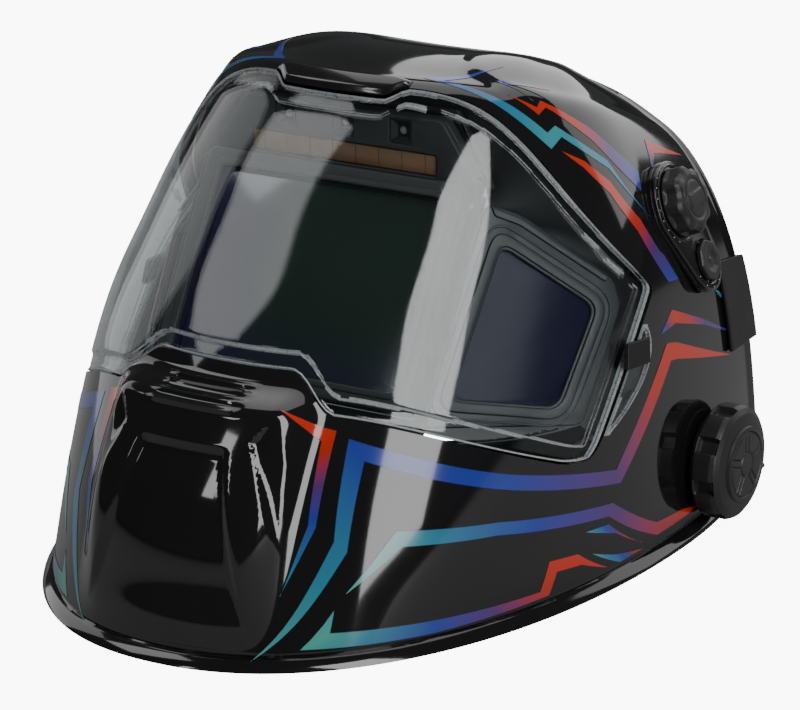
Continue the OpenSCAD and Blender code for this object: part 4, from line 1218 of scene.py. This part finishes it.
class BuildSideWindows(HelmetOperator, bpy.types.Operator):
    """Side windows, each in a frame with a raised bezel"""

    bl_idname = "helmet.side_windows"
    bl_label = "Side windows"

    def build(self, sizes):
        for word, flip in (("left", Matrix.Identity(4)), ("right", MIRROR)):
            base = plate("base", rounded(SIDE_PANEL, 4), [rounded(SIDE_HOLE, 5)], SIDE_T, SIDE,
                         "side_satin", 0.7)
            bezel = plate("bezel", rounded(grown(SIDE_HOLE, 5.5), 9), [rounded(grown(SIDE_HOLE, 1.2), 6)],
                          1.4, SIDE, "side_satin", 0.6, -1.1)
            ridge = plate("ridge", rounded(grown(SIDE_HOLE, 8.6), 12),
                          [rounded(grown(SIDE_HOLE, 7.6), 11)], 1.0, SIDE, "side_satin", 0.35, -0.6)
            outer_bar = plate("bar", rounded([(17.5, 38.5), (29.5, 32.6), (64, 4.4), (62.4, 2.2),
                                              (28.4, 29.6), (18.4, 34.4)], 0.8),
                              [], 1.4, SIDE, "side_satin", 0.5, -1.0)
            panel = join("side_frame_panel_" + word, [base, bezel, ridge, outer_bar])
            move(panel, flip)
            keep(panel, "shell", "frame_black", "side_frame_" + word)
            glass = plate("side_window_glass_" + word, rounded(grown(SIDE_HOLE, 2), 6), [], 1.8, SIDE,
                          "side_coat", 0.3, SIDE_T - 1.2)
            move(glass, flip)
            keep(glass, "shell", "side_glass", "side_window_" + word)


# ---- Controls and pivots --------------------------------------------------------------------------
def lobes(angle, count, depth, sharp=1.0):
    """How deep a notch is at an angle, for evenly spaced notches."""
    wave = np.clip((np.cos(angle * count) - (1 - 2 * sharp)) / (2 * sharp), 0, 1)
    return -depth * ease(wave)


class BuildControls(HelmetOperator, bpy.types.Operator):
    """Mode knob, save button, their plate, the control box with its board, battery drawer and cable"""

    bl_idname = "helmet.controls"
    bl_label = "Controls"

    def build(self, sizes):
        plate_edge = self.plate_outline()
        lower = plate("lower", plate_edge, [circle_outline(*SAVE_AT, 7.1), circle_outline(0, 0, 3.3)],
                      1.9, CONTROLS, "trim_gloss", 0.2, -2.4, upright=False)
        upper = plate("upper", plate_edge, [circle_outline(*SAVE_AT, 9.4, 48), circle_outline(0, 0, 3.3)],
                      2.1, CONTROLS, "trim_gloss", 0.6, -0.5, upright=False)
        ring = plate("knob_ring", circle_outline(0, 0, 16.6, 48), [circle_outline(0, 0, 15.4, 48)],
                     1.0, CONTROLS, "knob_satin", 0.3, 1.4, upright=False)
        keep(join("control_plate_panel", [lower, upper, ring]), "shell", "gloss_black", "control_plate")

        def mode_shape(angle, r, z):
            grip = lobes(angle + math.pi / 8, 8, 1.5) * ease((r - 9.5) / 3) * ease(z - 3.0)
            groove = -0.5 * np.exp(-(((r - 8.4) / 0.45) ** 2)) * ease((z - 9.5) / 0.5)
            on_top = ease((z - 9.5) / 0.5)
            bar = 0.6 * ease((3.2 - np.abs(r * np.cos(angle))) / 0.5) * ease((7.6 - r) / 0.8) * on_top
            return grip, groove + bar

        knob = turned("mode_knob_cap", [(0, 2.0), (14.0, 2.0), (14.5, 2.6), (14.4, 8.6), (13.2, 10.2),
                                        (10.8, 10.9), (0, 11.2)],
                      CONTROLS, "knob_satin", mode_shape, 128, 0.5)
        shaft = turned("mode_shaft", [(0, -10), (3, -10), (3, 2.1), (0, 2.1)], CONTROLS, "steel", segments=32)
        keep(join("mode_knob_grip", [knob, shaft]), "mode_knob", "knob_black", "mode_knob")
        self.marks()

        def save_shape(angle, r, z):
            eight = r * (1 / np.cos((angle % (math.pi / 4)) - math.pi / 8) * math.cos(math.pi / 8) - 1)
            dish = -0.7 * ease((6.2 - r) / 3) * ease((z - 3.0) / 0.4)
            dot = 0.35 * ease((1.4 - r) / 0.4) * ease((z - 3.0) / 0.4)
            return eight * ease((z - 0.6) / 0.4), dish + dot

        place = CONTROLS @ Matrix.Translation((SAVE_AT[0], SAVE_AT[1], 0))
        button = turned("save_button_cap", [(0, -3.4), (6.7, -3.4), (6.7, 1.2), (8.8, 1.2), (9.0, 1.5),
                                            (9.0, 3.2), (8.4, 3.75), (0, 3.8)],
                        place, "knob_satin", save_shape, 96, 0.5)
        keep(button, "save_button", "knob_black", "save_button")
        for node, body, slot, material in (
                ("control_box", "shell", "frame_black", "nylon"),
                ("control_board", "shell", "circuit", "board"),
                ("battery_drawer", "battery_drawer", "frame_black", "nylon"),
                ("coin_cell", "battery_drawer", "steel", "steel")):
            keep(node_copy(node, node + "_part", material), body, slot, node)
        cable = node_copy("signal_cable", "signal_cable_jacket", "cable_rubber", 0)
        round_it = cable.modifiers.new("round", "SUBSURF")
        round_it.levels = round_it.render_levels = 2
        keep(cable, "shell", "cable", "signal_cable")

    @staticmethod
    def plate_outline():
        """The plate round both controls: two arcs and the straight sides between them."""
        small, large, reach = 13.0, 18.0, math.hypot(*SAVE_AT)
        lean, spread = math.atan2(SAVE_AT[1], SAVE_AT[0]), math.acos((large - small) / reach)
        points = []
        for k in range(25):
            a = lean + mix(spread, 2 * math.pi - spread, k / 24)
            points.append((large * math.cos(a), large * math.sin(a)))
        for k in range(17):
            a = lean + mix(-spread, spread, k / 16)
            points.append((reach * math.cos(lean) + small * math.cos(a),
                           reach * math.sin(lean) + small * math.sin(a)))
        return points

    @staticmethod
    def marks():
        """Setting ticks round both controls, printed as thin raised bars."""
        rows = []
        for count, radius, start, end, centre in ((9, 16.9, 200, 330, (0, 0)), (5, 11.4, -70, 60, SAVE_AT)):
            path = []
            for k in range(33):
                a = math.radians(mix(start, end, k / 32))
                path.append(CONTROLS @ Vector((centre[0] + radius * math.cos(a),
                                               centre[1] + radius * math.sin(a), 1.62)))
            tick = block("tick", 0.5, 0.5, 0.5, "knob_ink", 0.1)
            rows.append(row_of("ticks", tick, path, count, "knob_ink"))
        keep(join("setting_ticks", rows), "shell", "gloss_black")


KNOB_X = 126.8


class BuildPivots(HelmetOperator, bpy.types.Operator):
    """Friction pivots: bushings, stop plates, washers, screws and the notched tension knobs"""

    bl_idname = "helmet.pivots"
    bl_label = "Pivots"

    def build(self, sizes):
        count = sizes.knob_notches

        def knob_shape(angle, r, z):
            turn = (angle * count / (2 * math.pi)) % 1.0
            notch = ease((turn - 0.06) / 0.05) * (1 - ease((turn - 0.40) / 0.05))
            skirt = -2.6 * notch * ease((r - 19) / 2.5) * ease((z - 1.5) / 1.2) * (1 - ease((z - 9.6) / 1.4))
            face = ease((z - 12.4) / 0.6)
            spoke = np.abs(((angle * 5 / (2 * math.pi)) % 1.0) - 0.5) * r * 2 * math.pi / 5
            ring = np.exp(-(((r - 5.2) / 0.32) ** 2)) + np.exp(-(((r - 13.8) / 0.34) ** 2))
            between = ease((r - 5.2) / 0.4) * (1 - ease((r - 13.6) / 0.4))
            spokes = np.exp(-(((spoke - 1.5) / 0.32) ** 2)) * between
            return skirt, -0.7 * face * np.clip(ring + spokes, 0, 1)

        profile = [(0, 0.0), (22.8, 0.0), (24.0, 0.8), (24.5, 2.0), (24.5, 9.0), (23.6, 11.0), (21.4, 12.6),
                   (18.4, 13.4), (16.4, 13.6), (16.0, 14.6), (14.8, 15.0), (0, 15.0)]
        for word, flip in (("left", Matrix.Identity(4)), ("right", MIRROR)):
            knob = turned("tension_knob_grip_" + word, profile, at_pivot(KNOB_X), "knob_satin", knob_shape,
                          256, 0.45)
            move(knob, flip)
            keep(knob, "tension_knob_" + word, "knob_black", "tension_knob_" + word)
            for node, body, slot, material, bevel in (
                    ("pivot_bushing_", "shell", "nylon_black", "nylon", 0.5),
                    ("stop_plate_", "shell", "nylon_black", "nylon", 0.3),
                    ("pivot_screw_", "arms", "steel", "steel", 0.4),
                    ("friction_washer_", "arms", "fibre_red", "fibre", 0.2)):
                keep(node_copy(node + word, node + word + "_part", material, bevel), body, slot, node + word)


# ---- Headgear -------------------------------------------------------------------------------------
def arc_path(radius, centre_y, z, start, end, steps=60):
    """Points round the head, from the angle start to end in degrees, where 0 is the front."""
    path = []
    for k in range(steps + 1):
        a = math.radians(mix(start, end, k / steps))
        path.append((radius * math.sin(a), centre_y + BACK - radius * math.cos(a), z))
    return path


PAD_SWELL, PAD_VOXEL, PAD_FRAMES, PAD_FILL = 1.6, 2.4, 15, 0.7


def soft_pad(name, inner, outer, centre_y, z0, z1, start, end, swell):
    """A pad bent round the head, which a cloth simulation puffs up."""
    rings, steps = [], 48
    for k in range(steps + 1):
        a = math.radians(mix(start, end, k / steps))
        taper = min(1, 0.35 + 6 * min(k, steps - k) / steps)
        middle, half = (inner + outer) / 2, (outer - inner) / 2 * taper * 0.7
        section = []
        for j in range(20):
            b = 2 * math.pi * j / 20
            r = middle + half * math.copysign(abs(math.cos(b)) ** 0.7, math.cos(b))
            z = (z0 + z1) / 2 + ((z1 - z0) / 2 - 1.2) * math.copysign(abs(math.sin(b)) ** 0.7, math.sin(b))
            section.append((r * math.sin(a), centre_y + BACK - r * math.cos(a), z))
        rings.append(section)
    verts = [p for ring in rings for p in ring]
    faces = [tuple(range(19, -1, -1)), tuple(steps * 20 + j for j in range(20))]
    for k in range(steps):
        for j in range(20):
            n = (j + 1) % 20
            faces.append((k * 20 + j, k * 20 + n, (k + 1) * 20 + n, (k + 1) * 20 + j))
    pad = new_piece(name, verts, faces, "pad_cloth", 180)
    bm = bmesh.new()
    bm.from_mesh(pad.data)
    bmesh.ops.recalc_face_normals(bm, faces=bm.faces)
    bm.to_mesh(pad.data)
    bm.free()
    puff(pad, swell)
    smooth = pad.modifiers.new("smooth", "SUBSURF")
    smooth.levels = smooth.render_levels = 1
    return pad


def puff(pad, swell):
    """Inflates the pad as cloth, with its points kept within swell millimetres of where they start."""
    remesh = pad.modifiers.new("voxels", "REMESH")
    remesh.mode, remesh.voxel_size = "VOXEL", PAD_VOXEL * MM
    bpy.context.view_layer.update()
    mesh = bpy.data.meshes.new_from_object(pad.evaluated_get(bpy.context.evaluated_depsgraph_get()))
    pad.modifiers.clear()
    pad.data = mesh
    start = np.empty(len(mesh.vertices) * 3)
    mesh.vertices.foreach_get("co", start)
    cloth = pad.modifiers.new("cloth", "CLOTH")
    cloth.settings.quality = 4
    cloth.settings.use_pressure = True
    cloth.settings.uniform_pressure_force = 4.0
    cloth.settings.tension_stiffness = 12
    cloth.settings.effector_weights.gravity = 0
    scene = bpy.context.scene
    for frame_number in range(1, PAD_FRAMES + 1):
        scene.frame_set(frame_number)
    done = bpy.data.meshes.new_from_object(pad.evaluated_get(bpy.context.evaluated_depsgraph_get()))
    end = np.empty(len(done.vertices) * 3)
    done.vertices.foreach_get("co", end)
    shift = (end - start).reshape(-1, 3)
    far = np.linalg.norm(shift, axis=1, keepdims=True)
    shift *= np.minimum(1, swell * MM / np.maximum(far, 1e-9))
    mesh.vertices.foreach_set("co", (start.reshape(-1, 3) + shift).ravel())
    pad.modifiers.clear()
    scene.frame_set(1)
    mesh.update()
    mark_sharp(mesh, 180)


class BuildPads(HelmetOperator, bpy.types.Operator):
    """Sweatband and rear pad, with their stitching"""

    bl_idname = "helmet.pads"
    bl_label = "Pads"

    def build(self, sizes):
        low, high = PIVOT_Z - BAND_H / 2, PIVOT_Z + BAND_H / 2
        band = BAND_R - BAND_T - 0.4
        pads = (("sweatband_pad", "sweatband", "headband", band - 7, band,
                 FRONT_C, low - 2, high + 2, -72, 72),
                ("rear_pad_cushion", "rear_pad", "rear_band", REAR_R - BAND_T - 8.8, REAR_R - BAND_T - 2.8,
                 REAR_C, low, high, 180 - 35, 180 + 35))
        for name, node, body, inner, outer, centre, z0, z1, start, end in pads:
            pad = soft_pad(name, inner, outer, centre, z0, z1, start, end, PAD_SWELL)
            keep(pad, body, "pad", node)
            rows = []
            for z in (z0 + 4, z1 - 4):
                path = arc_path(inner + 0.9, centre, z, start + 6, end - 6)
                count = int(math.radians(end - start - 12) * inner / sizes.stitch_pitch)
                rows.append(row_of("stitches", block("stitch", 0.6, 0.6, 2.4, "thread", 0.2), path, count,
                                   "thread"))
            keep(join(name + "_stitches", rows), body, "pad")


class BuildHeadgear(HelmetOperator, bpy.types.Operator):
    """Headband, crown strap, arms and the ratchet"""

    bl_idname = "helmet.headgear"
    bl_label = "Headgear"

    def build(self, sizes):
        parts = (("side_arm_left", "arms", "nylon_black", "nylon", 0.8),
                 ("side_arm_right", "arms", "nylon_black", "nylon", 0.8),
                 ("headband_front", "headband", "nylon_black", "nylon", 0.7),
                 ("reach_buttons", "headband", "nylon_black", "knob_satin", 0.5),
                 ("crown_strap", "crown_strap", "nylon_black", "nylon", 0.6),
                 ("headband_rear", "rear_band", "nylon_black", "nylon", 0.7),
                 ("ratchet_housing", "rear_band", "nylon_black", "knob_satin", 1.4),
                 ("ratchet_pinion", "ratchet_knob", "acetal", "acetal", 0.2))
        for node, body, slot, material, bevel in parts:
            keep(node_copy(node, node + "_part", material, bevel, 3), body, slot, node)
        self.ribs()
        self.knob()
        self.baffle()

    @staticmethod
    def baffle():
        """A dark liner that closes the gap from the window's edge to the frames inside it."""
        at_side = [SIDE @ Vector((x, SIDE_T + 0.6, z))
                   for x, z in ((18, 37), (27, 31), (62, 4), (64, -8), (41, -51))]
        inner = [np.array(p) for p in [(0, -28.5 + BACK, 184), (42, -28.5 + BACK, 184),
                                       (60, -28.5 + BACK, 160)] + at_side]
        outer = [(0, 6.7), (0.18, 6.5), (0.34, 5.75), (0.44, 5.15), (0.52, 4.45), (0.585, 3.8),
                 (0.575, 3.3), (0.50, 1.95)]
        rows = []
        for k in range(len(inner) - 1):
            for j in range(6 if k < len(inner) - 2 else 7):
                a = mix(inner[k], inner[k + 1], j / 6)
                s, v = mix(np.array(outer[k]), np.array(outer[k + 1]), j / 6)
                b = skin(s, v, -WALL - 0.4)
                rows.append([mix(a, b, i / 6) for i in range(7)])
        half = np.array(rows)
        for side, word in ((1, "left"), (-1, "right")):
            points = half * np.array([side, 1, 1])
            back = points + np.array([0, 1.0, -0.6])
            both = np.concatenate([points.reshape(-1, 3), back.reshape(-1, 3)])
            liner = BuildStripes.film("window_liner_" + word, len(rows), 7, both, np.zeros((len(both), 2)))
            liner.data.materials.clear()
            liner.data.materials.append(finish("recess_dark"))
            keep(liner, "shell", "frame_black")

    @staticmethod
    def ribs():
        """Raised ribs on the outside of the straps, where fingers hold them."""
        path = arc_path(BAND_R + 0.1, FRONT_C, PIVOT_Z, -34, 34)
        ribs = row_of("headband_ribs", block("rib", 0.8, 15, 1.4, "nylon", 0.3), path, 23, "nylon")
        keep(ribs, "headband", "nylon_black")
        top = PIVOT_Z + BAND_H / 2 + 100 - (BAND_R + 2.5)
        path = []
        for k in range(41):
            a = math.radians(mix(-38, 38, k / 40))
            path.append(((BAND_R + 2.55) * math.sin(a), PIVOT_Y + 12 + BACK,
                         top + (BAND_R + 2.55) * math.cos(a)))
        slots = row_of("slots", block("slot", 0.5, 0.5, 3.0, "nylon", 0.2), path, 15, "nylon")
        keep(slots, "crown_strap", "nylon_black")

    @staticmethod
    def knob():
        base = 9.4

        def shape(angle, r, z):
            grip = lobes(angle, 18, 1.3) * ease((r - 15) / 4) * ease((z - base - 1.5) / 1.5)
            arrow = -0.6 * np.exp(-(((r - 15.2) / 0.4) ** 2)) * ease((z - base - 12) / 1)
            return grip, arrow

        knob = turned("ratchet_knob_grip", [(0, 5.5), (4, 5.5), (4, base), (20, base), (21, base + 1.4),
                                            (21, base + 10.5), (19, base + 13.4), (17, base + 14),
                                            (12.6, base + 14), (11.6, base + 11.4), (0, base + 11)],
                      RATCHET, "knob_satin", shape, 180, 0.7)
        keep(knob, "ratchet_knob", "knob_black", "ratchet_knob")


# ---- Stage ----------------------------------------------------------------------------------------
CAMERA_AT, CAMERA_ROLL, CAMERA_LENS = (838.6, -1371.1, 618.5), -0.79, 180
LIGHT_AIM, LIGHT_AWAY = (0, -0.06, 0.11), 1.7


class BuildStage(HelmetOperator, bpy.types.Operator):
    """Floor, soft lights and camera"""

    bl_idname = "helmet.stage"
    bl_label = "Stage"

    def build(self, sizes):
        studio = bpy.context.scene.helmet_studio
        bpy.ops.mesh.primitive_plane_add(size=30, location=(0, 0, CAD_LOW.z))
        floor = bpy.context.object
        floor.name = "floor"
        m = Shader("floor_paper")
        tone = m.blend(m.noise(0.002, 2), tuple(c * 0.985 for c in studio.floor_tone),
                       tuple(studio.floor_tone))
        paper = m.surface(Base_Color=m.blend(studio.floor_dim, tone, (0, 0, 0)), Roughness=0.9,
                          Specular_IOR_Level=0.1)
        glow = m.surface(Base_Color=tone, Roughness=0.9, Specular_IOR_Level=0.1, Emission_Color=(1, 1, 1, 1),
                         Emission_Strength=studio.floor_glow)
        seen = m.node("ShaderNodeLightPath") * (m.node("ShaderNodeLightPath",
                                                       output="Transparent Depth") < 0.5)
        floor.data.materials.append(m.done(m.node("ShaderNodeMixShader",
                                                  inputs={0: seen, 1: paper, 2: glow})))
        self.world()
        # Each light's name, its azimuth and elevation seen from the helmet, its width, height and power.
        aim = Vector(LIGHT_AIM)
        for name, azimuth, elevation, wide, tall, power in (
                ("key_softbox", 67, 30, 0.62, 1.9, studio.key_power),
                ("front_strip", -17, 28, 0.16, 0.5, 1.6),
                ("left_softbox", -66, 51, 0.62, 0.75, 4),
                ("overhead", -170, 62, 1.6, 1.2, 9),
                ("back_panel", 172, 22, 2.4, 0.9, 10),
                ("left_panel", -100, 18, 0.9, 1.4, 5)):
            a, e = math.radians(azimuth), math.radians(elevation)
            back = Vector((math.sin(a) * math.cos(e), -math.cos(a) * math.cos(e), math.sin(e)))
            data = bpy.data.lights.new(name, "AREA")
            data.shape, data.size, data.size_y, data.energy = "RECTANGLE", wide, tall, power
            lamp = bpy.data.objects.new(name, data)
            lamp.location = aim + back * LIGHT_AWAY
            lamp.rotation_euler = back.to_track_quat("Z", "Y").to_euler()
            bpy.context.scene.collection.objects.link(lamp)
        self.camera(studio)

    @staticmethod
    def world():
        """White to the camera, and dim grey to everything else."""
        world = bpy.data.worlds.new("studio")
        world.use_nodes = True
        nodes, links = world.node_tree.nodes, world.node_tree.links
        nodes.clear()
        out, pick = nodes.new("ShaderNodeOutputWorld"), nodes.new("ShaderNodeMixShader")
        path = nodes.new("ShaderNodeLightPath")
        seen, dim = nodes.new("ShaderNodeBackground"), nodes.new("ShaderNodeBackground")
        seen.inputs["Color"].default_value = (1, 1, 1, 1)
        dim.inputs["Color"].default_value = (0.48, 0.49, 0.50, 1)
        dim.inputs["Strength"].default_value = 0.12
        bare, both = nodes.new("ShaderNodeMath"), nodes.new("ShaderNodeMath")
        bare.operation, both.operation = "LESS_THAN", "MULTIPLY"
        bare.inputs[1].default_value = 0.5
        links.new(path.outputs["Transparent Depth"], bare.inputs[0])
        links.new(path.outputs["Is Camera Ray"], both.inputs[0])
        links.new(bare.outputs[0], both.inputs[1])
        links.new(both.outputs[0], pick.inputs[0])
        links.new(dim.outputs[0], pick.inputs[1])
        links.new(seen.outputs[0], pick.inputs[2])
        links.new(pick.outputs[0], out.inputs["Surface"])
        bpy.context.scene.world = world

    @staticmethod
    def camera(studio):
        data = bpy.data.cameras.new("camera")
        data.lens, data.sensor_width, data.clip_start, data.clip_end = CAMERA_LENS, 36, 0.05, 100
        camera = bpy.data.objects.new("camera", data)
        x, y, z = CAMERA_AT
        at = Matrix.Translation(Vector((x, y + BACK, z)) * MM)
        turn, tip = Matrix.Rotation(studio.azimuth, 4, "Z"), math.pi / 2 - studio.elevation
        turn = turn @ Matrix.Rotation(tip, 4, "X") @ Matrix.Rotation(math.radians(CAMERA_ROLL), 4, "Z")
        camera.matrix_world = at @ turn
        bpy.context.scene.collection.objects.link(camera)
        bpy.context.scene.camera = camera


OPERATORS = (BuildStage, BuildShell, BuildStripes, BuildLens, BuildTrim, BuildFilter, BuildSideWindows,
             BuildControls, BuildPivots, BuildPads, BuildHeadgear)


class HELMET_PT_panel(bpy.types.Panel):
    """Lists the pieces of the helmet"""

    bl_label = "Helmet"
    bl_space_type = "VIEW_3D"
    bl_region_type = "UI"
    bl_category = "Helmet"

    def draw(self, context):
        for group in (context.scene.helmet_sizes, context.scene.helmet_studio):
            for name in group.__annotations__:
                self.layout.prop(group, name)
        for operator in OPERATORS:
            self.layout.operator(operator.bl_idname)


CLASSES = (HelmetSizes, StudioSettings) + OPERATORS + (HELMET_PT_panel,)


def register():
    for cls in CLASSES:
        bpy.utils.register_class(cls)
    bpy.types.Scene.helmet_sizes = bpy.props.PointerProperty(type=HelmetSizes)
    bpy.types.Scene.helmet_studio = bpy.props.PointerProperty(type=StudioSettings)


def unregister():
    del bpy.types.Scene.helmet_studio
    del bpy.types.Scene.helmet_sizes
    for cls in reversed(CLASSES):
        bpy.utils.unregister_class(cls)


def main():
    register()
    for operator in OPERATORS:
        group, name = operator.bl_idname.split(".")
        getattr(getattr(bpy.ops, group), name)()


if __name__ == "__main__":
    main()
